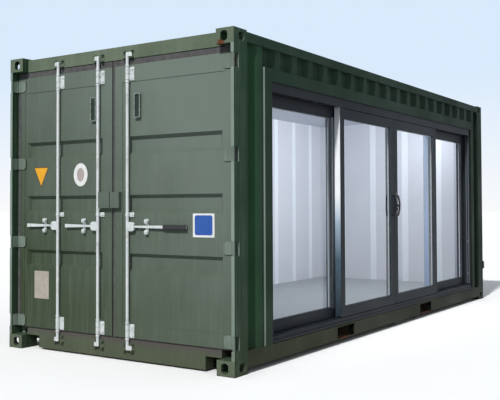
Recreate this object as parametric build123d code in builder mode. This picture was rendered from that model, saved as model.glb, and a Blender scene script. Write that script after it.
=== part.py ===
"""Twenty-foot shipping container cabin: cargo doors at one end, a four-panel sliding window wall in one side.

Millimetres. +X runs along the container from the cargo doors to the closed end, -Y is the glazed side, +Z is up,
and the origin is the middle of the footprint on the ground.
"""
from build123d import *
import os

os.makedirs("parts", exist_ok=True)

# ---------------------------------------------------------------- driving dimensions
length = 6058.0
width = 2438.0
height = 2591.0

# corner castings, with their twist-lock slots
casting_length = 178.0
casting_width = 162.0
casting_height = 118.0
casting_wall = 26.0
slot_length = 124.0
slot_width = 63.5
slot_inset_x = 102.5
slot_inset_y = 89.5
side_hole_length = 79.4
side_hole_height = 63.5
end_hole_width = 63.5
end_hole_height = 79.4
side_hole_rise = 59.0

# base frame
ground_gap = 45.0
rail_top = 170.0
rail_flange = 60.0
rail_plate = 6.0
pocket_width = 352.0
pocket_floor = 53.0
pocket_roof = 157.0
pocket_plate = 6.0
pocket_spacing = 2050.0
pocket_offset = -158.0
cross_member_depth = 112.0
cross_member_flange = 45.0
cross_member_plate = 5.0
cross_member_count = 14
lug_length = 220.0
lug_drop = 12.0
lug_thickness = 30.0
lug_offset = 45.0

# posts and top frame
post_wall = 8.0
door_post_leg = 28.0
door_post_return = 72.0
top_rail_width = 60.0
top_rail_height = 75.0
top_set_down = 12.0
beam_wall = 6.0
sill_top = 178.0
sill_bottom = 16.0
sill_notch_width = 150.0
sill_notch_top = 120.0
header_depth = 109.0
end_rail_depth = 60.0

# corrugated walls and roof
sheet = 3.0
wall_set_back = 10.0
wall_pitch = 280.0
wall_crest = 72.0
wall_slope = 68.0
wall_depth = 36.0
end_pitch = 250.0
end_crest = 88.0
end_slope = 18.0
end_depth = 40.0
end_sheet_inset = 6.0
roof_pitch = 209.0
roof_crest = 91.0
roof_slope = 13.5
roof_depth = 20.0

# floor and insulated lining
floor_thickness = 28.0
lining_thickness = 40.0
ceiling_drop = 64.0
strip_width = 90.0
strip_thickness = 4.0
strip_pitch = 485.0

# cargo doors
hinge_inset = 13.0
pin_diameter = 14.0
pin_sides = 12
pin_clearance = 0.5
knuckle_wall = 5.0
hinge_blade_height = 100.0
hinge_blade_length = 98.0
hinge_blade_thickness = 8.0
hinge_blade_corner = 18.0
hinge_count = 4
lowest_hinge_rise = 67.0
highest_hinge_drop = 125.0
hinge_gap = 6.0
door_recess = 66.0
door_thickness = 50.0
door_edge_gap = 12.0
door_stop_gap = 6.0
door_seam = 28.0
door_seam_gap = 34.0
door_bottom_gap = 12.0
door_top_gap = 52.0
door_stile = 80.0
door_top_rail = 138.0
door_bottom_rail = 110.0
door_tube_wall = 5.0
door_panel_step = 4.0
door_sheet = 4.0
groove_count = 3
groove_pitch = 477.5
groove_drop = 25.0
groove_height = 150.0
groove_depth = 30.0
groove_taper = 42.0
groove_margin = 30.0
gasket_set_back = 6.0
gasket_depth = 24.0
gasket_gap = 5.0
seam_lip_gap = 10.0

# lock rods, their bearings, cams, keepers and handles
rod_diameter = 27.0
rod_bearing_clearance = 0.5
rod_bearing_wall = 2.5
rod_bearing_sides = 12
rod_door_gap = 2.0
right_rod_inset = 151.0
left_inner_rod_inset = 141.0
left_outer_rod_inset = 613.0
rod_into_sill = 82.0
rod_into_header = 50.0
bearing_height = 112.0
bearing_inset_bottom = 58.0
bearing_inset_top = 75.0
guide_height = 38.0
guide_rise = 96.0
bearing_plate_width = 112.0
bearing_plate_thickness = 5.0
bearing_plate_corner = 8.0
saddle_corner = 8.0
cam_reach = 44.0
cam_width = 20.0
cam_height = 34.0
keeper_lug = 8.0
keeper_gap = 6.0
keeper_clearance = 8.0
keeper_reach = 54.0
keeper_corner = 10.0
handle_height = 1095.0
handle_neck = 16.0
handle_end = 30.0
handle_bar_thickness = 9.0
hub_height = 74.0
hub_reach = 76.0
hub_thickness = 22.0
short_handle = 382.0
long_handle = 600.0
grip_length = 225.0
grip_height = 38.0
grip_thickness = 24.0
catch_height = 126.0
catch_width = 46.0
catch_corner = 14.0
catch_boss = 16.0
catch_boss_sides = 12
catch_boss_offset = 44.0
short_catch_at = 170.0
long_catch_at = 197.0
lock_box_height = 132.0
lock_box_rise = 217.0
lock_box_half = 88.0
lock_box_wall = 4.0
lock_box_gap = 6.0
vent_width = 60.0
vent_height = 200.0
vent_depth = 20.0
vent_lip = 12.0
vent_drop = 340.0
right_vent_from_rod = 102.0
left_vent_from_rod = 57.0

# opening in the long side, with its steel portal
door_end_strip = 261.0
closed_end_strip = 185.0
header_strip = 154.0
portal_width = 100.0
portal_depth = 60.0
portal_wall = 6.0

# aluminium frame and its four glazed panels
frame_inset = 16.0
frame_depth = 152.0
frame_jamb = 35.0
frame_head = 80.0
frame_sill = 50.0
frame_seat = 175.0
sill_nose = 12.0
sill_nose_height = 18.0
panel_thickness = 62.0
panel_lead = 6.0
panel_track_gap = 12.0
panel_stile = 84.0
panel_rail = 90.0
panel_clearance = 5.0
sliding_share = 0.4975
meeting_gap = 6.0
interlock = 53.0
guide_width = 42.0
guide_depth = 30.0
tongue_width = 28.0
tongue_height = 22.0
track_width = 8.0
track_height = 10.0
track_groove = 22.0
glass_thickness = 24.0
glass_rebate = 14.0
pull_length = 216.0
pull_height = 1258.0
pull_stand_off = 46.0
pull_bar = 14.0
pull_width = 18.0
pull_leg = 28.0
pull_inset = 42.0

# power inlet on the closed end
inlet_width = 100.0
inlet_height = 105.0
inlet_depth = 40.0
inlet_cap_depth = 12.0
inlet_cap_diameter = 78.0
inlet_corner = 12.0
inlet_middle_z = 452.0
inlet_from_corner = 38.0

# ---------------------------------------------------------------- derived positions
half_length = length / 2
half_width = width / 2
post_inner = half_length - casting_length
top_level = height - top_set_down
rail_underside = top_level - top_rail_height
header_underside = top_level - header_depth
ceiling_underside = rail_underside - ceiling_drop
floor_top = rail_top + floor_thickness

door_face = -half_length + door_recess
door_back = door_face + door_thickness
door_edge = half_width - door_post_leg - door_edge_gap
door_bottom = sill_top + door_bottom_gap
door_top = header_underside - door_top_gap
right_edge = door_seam - door_seam_gap / 2
left_edge = door_seam + door_seam_gap / 2
groove_middle = (door_bottom + door_top) / 2 - groove_drop
groove_centres = [groove_middle + (index - (groove_count - 1) / 2) * groove_pitch for index in range(groove_count)]

pin_x = -half_length + hinge_inset
pin_y = half_width - hinge_inset
pin_radius = pin_diameter / 2
knuckle_radius = pin_radius + pin_clearance + knuckle_wall
lowest_hinge = sill_top + lowest_hinge_rise
highest_hinge = header_underside - highest_hinge_drop
hinge_step = (highest_hinge - lowest_hinge) / (hinge_count - 1)
hinge_heights = [lowest_hinge + index * hinge_step for index in range(hinge_count)]

rod_radius = rod_diameter / 2
bore_radius = rod_radius + rod_bearing_clearance
collar_radius = bore_radius + rod_bearing_wall
rod_x = door_face - rod_door_gap - collar_radius
rod_bottom = sill_top - rod_into_sill
rod_top = header_underside + rod_into_header
right_rod = right_edge - right_rod_inset
left_inner_rod = left_edge + left_inner_rod_inset
left_outer_rod = left_edge + left_outer_rod_inset
low_bearing = door_bottom + bearing_inset_bottom
high_bearing = door_top - bearing_inset_top
guide_z = handle_height + guide_rise

opening_start = -post_inner + door_end_strip + portal_width
opening_end = post_inner - closed_end_strip - portal_width
opening_middle = (opening_start + opening_end) / 2
opening_half = (opening_end - opening_start) / 2
opening_top = rail_underside - header_strip - portal_width
frame_front = -half_width + frame_inset
frame_back = frame_front + frame_depth
sliding_front = frame_front + panel_lead
sliding_back = sliding_front + panel_thickness
fixed_front = sliding_back + panel_track_gap
fixed_back = fixed_front + panel_thickness
frame_top = opening_top
head_underside = frame_top - frame_head
sill_level = frame_seat + frame_sill
panel_bottom = sill_level + panel_clearance
panel_top = head_underside - panel_clearance
glass_bottom = panel_bottom + panel_rail
glass_top = panel_top - panel_rail
fixed_outer = opening_half - frame_jamb
sliding_inner = meeting_gap / 2
sliding_outer = sliding_inner + sliding_share * (fixed_outer + interlock - sliding_inner)
fixed_inner = sliding_outer - interlock

wall_face = half_width - wall_set_back
lining_wall = wall_face - wall_depth - sheet
lining_face = lining_wall - lining_thickness
end_lining_back = post_inner
end_lining_face = end_lining_back - lining_thickness
room_start = -post_inner


# ---------------------------------------------------------------- shared helpers
def block(x_range, y_range, z_range, mode=Mode.ADD):
    """A plain box between two corners, added to or cut from the part being built."""
    (x0, x1), (y0, y1), (z0, z1) = x_range, y_range, z_range
    with Locations(((x0 + x1) / 2, (y0 + y1) / 2, (z0 + z1) / 2)):
        Box(x1 - x0, y1 - y0, z1 - z0, mode=mode)


def trapezoid_points(start, end, pitch, crest, slope, depth):
    """Points of a trapezoidal sheet from start to end, with a crest in the middle of every pitch."""
    def recess(position):
        off_crest = abs(position % pitch - pitch / 2)
        return depth * min(max((off_crest - crest / 2) / slope, 0.0), 1.0)

    corners = [start, end]
    first = int(start // pitch) - 1
    last = int(end // pitch) + 1
    for index in range(first, last + 1):
        middle = (index + 0.5) * pitch
        for offset in (crest / 2, crest / 2 + slope):
            corners += [middle - offset, middle + offset]
    inside = sorted(position for position in corners if start <= position <= end)
    return [(position, recess(position)) for position in inside]


def sheet_outline(points, thickness):
    """Closed outline of a folded sheet: the folded line, and back along it one thickness behind."""
    return points + [(x, y + thickness) for x, y in reversed(points)]


def round_ended(opening_length, opening_width, rotation=0):
    """A slot whose ends are arcs about its own middle."""
    Circle(opening_length / 2)
    Rectangle(opening_length, opening_width, rotation=rotation, mode=Mode.INTERSECT)


def finish(part_builder, name):
    """Label a finished piece and write its file."""
    part_builder.part.label = name
    export_step(part_builder.part, "parts/" + name + ".step")


# ---------------------------------------------------------------- corner castings
with BuildPart() as corner_castings:
    for end in (-1, 1):
        for side in (-1, 1):
            for top in (0, 1):
                middle_x = end * (half_length - casting_length / 2)
                middle_y = side * (half_width - casting_width / 2)
                base = top * (height - casting_height)
                outer_face = height if top else 0.0
                hole_z = base + casting_height - side_hole_rise
                with Locations((middle_x, middle_y, base + casting_height / 2)):
                    Box(casting_length, casting_width, casting_height)
                    Box(
                        casting_length - 2 * casting_wall,
                        casting_width - 2 * casting_wall,
                        casting_height - 2 * casting_wall,
                        mode=Mode.SUBTRACT,
                    )
                slot_x = end * (half_length - slot_inset_x)
                slot_y = side * (half_width - slot_inset_y)
                with BuildSketch(Plane.XY.offset(outer_face)):
                    with Locations((slot_x, slot_y)):
                        SlotOverall(slot_length, slot_width)
                extrude(amount=-casting_wall if top else casting_wall, mode=Mode.SUBTRACT)
                with BuildSketch(Plane.XZ.offset(-side * half_width)):
                    with Locations((end * (half_length - slot_inset_x), hole_z)):
                        round_ended(side_hole_length, side_hole_height)
                extrude(amount=side * casting_wall, mode=Mode.SUBTRACT)
                with BuildSketch(Plane.YZ.offset(end * half_length)):
                    with Locations((slot_y, hole_z)):
                        round_ended(end_hole_height, end_hole_width, rotation=90)
                extrude(amount=-end * casting_wall, mode=Mode.SUBTRACT)
finish(corner_castings, "corner_castings")

# ---------------------------------------------------------------- corner posts
post_bottom = casting_height
post_top = height - casting_height

# Door posts: an outer leg flush with the castings, and a return behind the doors that stops them.
with BuildPart() as door_posts:
    with BuildSketch(Plane.XY.offset(post_bottom)):
        for side in (-1, 1):
            with BuildLine():
                outer = side * half_width
                leg = side * (half_width - door_post_leg)
                stop = side * (half_width - door_post_return)
                Polyline(
                    (-half_length, outer),
                    (-post_inner, outer),
                    (-post_inner, stop),
                    (door_back + door_stop_gap, stop),
                    (door_back + door_stop_gap, leg),
                    (-half_length, leg),
                    close=True,
                )
            make_face()
    extrude(amount=post_top - post_bottom)
    notch = hinge_blade_height / 2 + hinge_gap
    for side in (-1, 1):
        for hinge_z in hinge_heights:
            y_limits = sorted((side * half_width, side * (half_width - door_post_leg)))
            block(
                (-half_length, door_face),
                y_limits,
                (hinge_z - notch, hinge_z + notch),
                mode=Mode.SUBTRACT,
            )
            with BuildSketch(Plane.XY.offset(hinge_z - notch)):
                with Locations((pin_x, side * pin_y)):
                    RegularPolygon(pin_radius, pin_sides)
            extrude(amount=2 * notch)
finish(door_posts, "door_posts")

with BuildPart() as end_posts:
    with BuildSketch(Plane.XY.offset(post_bottom)):
        for side in (-1, 1):
            with Locations((half_length - casting_length / 2, side * (half_width - casting_width / 2))):
                Rectangle(casting_length, casting_width)
                Rectangle(casting_length - 2 * post_wall, casting_width - 2 * post_wall, mode=Mode.SUBTRACT)
    extrude(amount=post_top - post_bottom)
finish(end_posts, "end_posts")

# ---------------------------------------------------------------- side rails
with BuildPart() as top_side_rails:
    with BuildSketch(Plane.YZ.offset(-post_inner)):
        for side in (-1, 1):
            with Locations((side * (half_width - top_rail_width / 2), top_level - top_rail_height / 2)):
                Rectangle(top_rail_width, top_rail_height)
                Rectangle(top_rail_width - 2 * beam_wall, top_rail_height - 2 * beam_wall, mode=Mode.SUBTRACT)
    extrude(amount=2 * post_inner)
finish(top_side_rails, "top_side_rails")

pocket_middles = (pocket_offset - pocket_spacing / 2, pocket_offset + pocket_spacing / 2)

# Bottom side rails: inward channels, cut through at the fork pockets, with a lug under the middle.
with BuildPart() as bottom_side_rails:
    for side in (-1, 1):
        web = sorted((side * half_width, side * (half_width - rail_plate)))
        flange = sorted((side * half_width, side * (half_width - rail_flange)))
        block((-post_inner, post_inner), web, (ground_gap, rail_top))
        block((-post_inner, post_inner), flange, (rail_top - rail_plate, rail_top))
        block((-post_inner, post_inner), flange, (ground_gap, ground_gap + rail_plate))
        for middle in pocket_middles:
            pocket_ends = (middle - pocket_width / 2, middle + pocket_width / 2)
            block(pocket_ends, flange, (pocket_floor, pocket_roof), mode=Mode.SUBTRACT)
        lug = sorted((side * half_width, side * (half_width - lug_thickness)))
        block(
            (lug_offset - lug_length / 2, lug_offset + lug_length / 2),
            lug,
            (ground_gap - lug_drop, ground_gap),
        )
finish(bottom_side_rails, "bottom_side_rails")

# Fork pockets: two box tubes that run right across, between the rail webs.
with BuildPart() as fork_pockets:
    with BuildSketch(Plane.XZ.offset(-(half_width - rail_flange))):
        for middle in pocket_middles:
            with Locations((middle, (pocket_floor + pocket_roof) / 2)):
                Rectangle(pocket_width + 2 * pocket_plate, pocket_roof - pocket_floor + 2 * pocket_plate)
                Rectangle(pocket_width, pocket_roof - pocket_floor, mode=Mode.SUBTRACT)
    extrude(amount=2 * (half_width - rail_flange))
finish(fork_pockets, "fork_pockets")

# Cross-members: channels between the side rails, left out where a fork pocket runs.
with BuildPart() as cross_members:
    first_member = -post_inner + cross_member_flange
    member_step = (2 * post_inner - 3 * cross_member_flange) / (cross_member_count - 1)
    for index in range(cross_member_count):
        start = first_member + index * member_step
        clear = [abs(start + cross_member_flange / 2 - middle) for middle in pocket_middles]
        if min(clear) < pocket_width / 2 + pocket_plate + cross_member_flange:
            continue
        y_limits = (-half_width + rail_flange, half_width - rail_flange)
        bottom = rail_top - cross_member_depth
        flange_ends = (start, start + cross_member_flange)
        block((start, start + cross_member_plate), y_limits, (bottom, rail_top))
        block(flange_ends, y_limits, (rail_top - cross_member_plate, rail_top))
        block(flange_ends, y_limits, (bottom, bottom + cross_member_plate))
finish(cross_members, "cross_members")

# ---------------------------------------------------------------- end frames
beam_half = half_width - casting_width

with BuildPart() as door_header:
    block((door_face, -post_inner), (-beam_half, beam_half), (header_underside, top_level))
    block(
        (door_face + beam_wall, -post_inner - beam_wall),
        (-beam_half, beam_half),
        (header_underside + beam_wall, top_level - beam_wall),
        mode=Mode.SUBTRACT,
    )
finish(door_header, "door_header")

with BuildPart() as door_sill:
    block((door_face, -post_inner), (-beam_half, beam_half), (sill_bottom, sill_top))
    for side in (-1, 1):
        notch_limits = sorted((side * beam_half, side * (beam_half - sill_notch_width)))
        block((door_face, -post_inner), notch_limits, (sill_bottom, sill_notch_top), mode=Mode.SUBTRACT)
finish(door_sill, "door_sill")

with BuildPart() as end_rails:
    for bottom, top in ((ground_gap, rail_top), (rail_underside, top_level)):
        rail_x = (half_length - end_rail_depth, half_length)
        hollow_x = (half_length - end_rail_depth + beam_wall, half_length - beam_wall)
        block(rail_x, (-beam_half, beam_half), (bottom, top))
        block(hollow_x, (-beam_half, beam_half), (bottom + beam_wall, top - beam_wall), mode=Mode.SUBTRACT)
finish(end_rails, "end_rails")

# ---------------------------------------------------------------- corrugated walls and roof
def wall_sheet(start, end, side):
    """Plan outline of a corrugated side wall between two stations, its crests just behind the rails' faces."""
    line = trapezoid_points(start, end, wall_pitch, wall_crest, wall_slope, wall_depth)
    return [(x, side * (wall_face - y)) for x, y in sheet_outline(line, sheet)]


with BuildPart() as back_wall:
    with BuildSketch(Plane.XY.offset(rail_top)):
        with BuildLine():
            Polyline(*wall_sheet(-post_inner, post_inner, 1), close=True)
        make_face()
    extrude(amount=rail_underside - rail_top)
finish(back_wall, "back_wall")

portal_start = opening_start - portal_width
portal_end = opening_end + portal_width
portal_top = opening_top + portal_width

with BuildPart() as front_wall_sides:
    with BuildSketch(Plane.XY.offset(rail_top)):
        for start, end in ((-post_inner, portal_start), (portal_end, post_inner)):
            with BuildLine():
                Polyline(*wall_sheet(start, end, -1), close=True)
            make_face()
    extrude(amount=rail_underside - rail_top)
finish(front_wall_sides, "front_wall_sides")

with BuildPart() as front_wall_header:
    with BuildSketch(Plane.XY.offset(portal_top)):
        with BuildLine():
            Polyline(*wall_sheet(portal_start, portal_end, -1), close=True)
        make_face()
    extrude(amount=rail_underside - portal_top)
finish(front_wall_header, "front_wall_header")

with BuildPart() as end_wall:
    with BuildSketch(Plane.XY.offset(rail_top)):
        with BuildLine():
            end_line = trapezoid_points(-beam_half, beam_half, end_pitch, end_crest, end_slope, end_depth)
            end_points = sheet_outline(end_line, sheet)
            Polyline(*[(half_length - end_sheet_inset - y, x) for x, y in end_points], close=True)
        make_face()
    extrude(amount=rail_underside - rail_top)
finish(end_wall, "end_wall")

roof_half = half_width - top_rail_width

with BuildPart() as roof_panel:
    with BuildSketch(Plane.XZ.offset(-roof_half)):
        with BuildLine():
            roof_line = trapezoid_points(-post_inner, post_inner, roof_pitch, roof_crest, roof_slope, roof_depth)
            Polyline(*[(x, top_level - y) for x, y in sheet_outline(roof_line, sheet)], close=True)
        make_face()
    extrude(amount=2 * roof_half)
    block((post_inner, post_inner + sheet), (-beam_half, beam_half), (top_level - roof_depth - sheet, top_level))
    block((post_inner, half_length - end_rail_depth), (-beam_half, beam_half), (top_level - sheet, top_level))
finish(roof_panel, "roof_panel")

# ---------------------------------------------------------------- floor and lining
with BuildPart() as floor_deck:
    block((-post_inner, end_lining_back), (frame_back, lining_wall), (rail_top, floor_top))
    block((end_lining_back, half_length - end_rail_depth), (-beam_half, beam_half), (rail_top, floor_top))
finish(floor_deck, "floor_deck")

with BuildPart() as back_lining:
    block((room_start, end_lining_back), (lining_face, lining_wall), (floor_top, ceiling_underside))
finish(back_lining, "back_lining")

with BuildPart() as end_lining:
    block((end_lining_face, end_lining_back), (frame_back, lining_face), (floor_top, ceiling_underside))
finish(end_lining, "end_lining")

with BuildPart() as ceiling_lining:
    ceiling_top = ceiling_underside + lining_thickness
    block((room_start, end_lining_back), (frame_back, lining_wall), (ceiling_underside, ceiling_top))
finish(ceiling_lining, "ceiling_lining")

# Lining of the glazed side: a strip beside each jamb and a strip over the window head.
with BuildPart() as front_lining_sides:
    front_strip = (frame_back - lining_thickness, frame_back)
    block((room_start, opening_start), front_strip, (floor_top, ceiling_underside))
    block((opening_end, end_lining_back), front_strip, (floor_top, ceiling_underside))
finish(front_lining_sides, "front_lining_sides")

with BuildPart() as front_lining_header:
    block((opening_start, opening_end), front_strip, (frame_top, ceiling_underside))
finish(front_lining_header, "front_lining_header")

# Cover strips over the joints of the back and end linings.
with BuildPart() as joint_strips:
    strip_count = int((end_lining_face - room_start) // strip_pitch)
    for index in range(1, strip_count + 1):
        middle = room_start + index * strip_pitch
        block(
            (middle - strip_width / 2, middle + strip_width / 2),
            (lining_face - strip_thickness, lining_face),
            (floor_top, ceiling_underside),
        )
    end_strip_count = int((lining_face - frame_back) // strip_pitch)
    end_middle = (frame_back + lining_face) / 2
    for index in range(end_strip_count):
        middle = end_middle + (index - (end_strip_count - 1) / 2) * strip_pitch
        block(
            (end_lining_face - strip_thickness, end_lining_face),
            (middle - strip_width / 2, middle + strip_width / 2),
            (floor_top, ceiling_underside),
        )
finish(joint_strips, "joint_strips")

# ---------------------------------------------------------------- steel portal of the side opening
portal_y = (-half_width, -half_width + portal_depth)

with BuildPart() as opening_jambs:
    with BuildSketch(Plane.XY.offset(rail_top)):
        for middle in (opening_start - portal_width / 2, opening_end + portal_width / 2):
            with Locations((middle, -half_width + portal_depth / 2)):
                Rectangle(portal_width, portal_depth)
                Rectangle(portal_width - 2 * portal_wall, portal_depth - 2 * portal_wall, mode=Mode.SUBTRACT)
    extrude(amount=opening_top - rail_top)
finish(opening_jambs, "opening_jambs")

with BuildPart() as opening_header:
    with BuildSketch(Plane.YZ.offset(portal_start)):
        with Locations((-half_width + portal_depth / 2, opening_top + portal_width / 2)):
            Rectangle(portal_depth, portal_width)
            Rectangle(portal_depth - 2 * portal_wall, portal_width - 2 * portal_wall, mode=Mode.SUBTRACT)
    extrude(amount=portal_end - portal_start)
finish(opening_header, "opening_header")

# ---------------------------------------------------------------- aluminium frame of the window wall
track_middles = ((sliding_front + sliding_back) / 2, (fixed_front + fixed_back) / 2)

# Head: one deep profile with a guide channel over each track.
with BuildPart() as glazing_head:
    with BuildSketch(Plane.YZ.offset(opening_start)):
        with Locations(((frame_front + frame_back) / 2, frame_top - frame_head / 2)):
            Rectangle(frame_depth, frame_head)
        for middle in track_middles:
            with Locations((middle, head_underside + guide_depth / 2)):
                Rectangle(guide_width, guide_depth, mode=Mode.SUBTRACT)
    extrude(amount=opening_end - opening_start)
finish(glazing_head, "glazing_head")

# Sill: a stepped profile with a nose that drips clear of the rail, and a track rib under each panel line.
with BuildPart() as glazing_sill:
    with BuildSketch(Plane.YZ.offset(opening_start)):
        with Locations(((frame_front + frame_back) / 2, frame_seat + frame_sill / 2)):
            Rectangle(frame_depth, frame_sill)
        with Locations((frame_front - sill_nose / 2, frame_seat + sill_nose_height / 2)):
            Rectangle(sill_nose, sill_nose_height)
        for middle in track_middles:
            with Locations((middle, sill_level + track_height / 2)):
                Rectangle(track_width, track_height)
    extrude(amount=opening_end - opening_start)
finish(glazing_sill, "glazing_sill")

with BuildPart() as glazing_jambs:
    for jamb_x in ((opening_start, opening_start + frame_jamb), (opening_end - frame_jamb, opening_end)):
        block(jamb_x, (frame_front, frame_back), (sill_level + track_height, head_underside))
finish(glazing_jambs, "glazing_jambs")


# ---------------------------------------------------------------- glazed panels
def panel_ring(x_range, front, track_middle):
    """A panel's frame: stiles and rails round the glass, a tongue on top and a groove for the track below."""
    low, high = x_range
    back = front + panel_thickness
    glass_middle = (front + back) / 2
    block(x_range, (front, back), (panel_bottom, panel_top))
    block(
        (low + panel_stile, high - panel_stile),
        (front, back),
        (glass_bottom, glass_top),
        mode=Mode.SUBTRACT,
    )
    block(
        (low + panel_stile - glass_rebate, high - panel_stile + glass_rebate),
        (glass_middle - glass_thickness / 2, glass_middle + glass_thickness / 2),
        (glass_bottom - glass_rebate, glass_top + glass_rebate),
        mode=Mode.SUBTRACT,
    )
    tongue = (track_middle - tongue_width / 2, track_middle + tongue_width / 2)
    block(x_range, tongue, (panel_top, panel_top + tongue_height))
    groove = (track_middle - track_groove / 2, track_middle + track_groove / 2)
    groove_top = sill_level + track_height + panel_clearance
    block(x_range, groove, (panel_bottom, groove_top), mode=Mode.SUBTRACT)


def panel_pane(x_range, front):
    """The sealed glass unit of a panel, seated in the rebate."""
    low, high = x_range
    middle = front + panel_thickness / 2
    block(
        (low + panel_stile - glass_rebate, high - panel_stile + glass_rebate),
        (middle - glass_thickness / 2, middle + glass_thickness / 2),
        (glass_bottom - glass_rebate, glass_top + glass_rebate),
    )


fixed_spans = (
    (opening_middle - fixed_outer, opening_middle - fixed_inner),
    (opening_middle + fixed_inner, opening_middle + fixed_outer),
)
sliding_spans = {
    "left": (opening_middle - sliding_outer, opening_middle - sliding_inner),
    "right": (opening_middle + sliding_inner, opening_middle + sliding_outer),
}

with BuildPart() as fixed_panel_frames:
    for span in fixed_spans:
        panel_ring(span, fixed_front, track_middles[1])
finish(fixed_panel_frames, "fixed_panel_frames")

with BuildPart() as fixed_panel_glass:
    for span in fixed_spans:
        panel_pane(span, fixed_front)
finish(fixed_panel_glass, "fixed_panel_glass")

for name, side in (("left", -1), ("right", 1)):
    span = sliding_spans[name]
    with BuildPart() as sliding_frame:
        panel_ring(span, sliding_front, track_middles[0])
    finish(sliding_frame, name + "_panel_frame")

    with BuildPart() as sliding_glass:
        panel_pane(span, sliding_front)
    finish(sliding_glass, name + "_panel_glass")

    # Pull handle: a bar bowed out between two short legs on the meeting stile.
    with BuildPart() as pull:
        pull_x = opening_middle + side * (sliding_inner + pull_inset)
        bow_steps = (
            (pull_length / 2, pull_leg, pull_stand_off, Mode.ADD),
            (pull_length / 2 - pull_bar, pull_leg - pull_bar / 2, pull_stand_off - pull_bar, Mode.SUBTRACT),
        )
        with BuildSketch(Plane.YZ.offset(pull_x - pull_width / 2)):
            for reach, leg, bow, mode in bow_steps:
                low_tip = (sliding_front - leg, pull_height - reach)
                high_tip = (sliding_front - leg, pull_height + reach)
                with BuildLine():
                    Polyline(low_tip, (sliding_front, pull_height - reach), (sliding_front, pull_height + reach), high_tip)
                    ThreePointArc(high_tip, (sliding_front - bow, pull_height), low_tip)
                make_face(mode=mode)
        extrude(amount=pull_width)
    finish(pull, name + "_panel_pull")

# ---------------------------------------------------------------- cargo doors
doors = {
    "right": {
        "hinge": -1,
        "low": -door_edge,
        "high": right_edge,
        "rods": (right_rod,),
        "catch": long_catch_at,
        "vent": right_rod - right_vent_from_rod,
    },
    "left": {
        "hinge": 1,
        "low": left_edge,
        "high": door_edge,
        "rods": (left_inner_rod, left_outer_rod),
        "catch": short_catch_at,
        "vent": left_inner_rod + left_vent_from_rod,
    },
}

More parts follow.
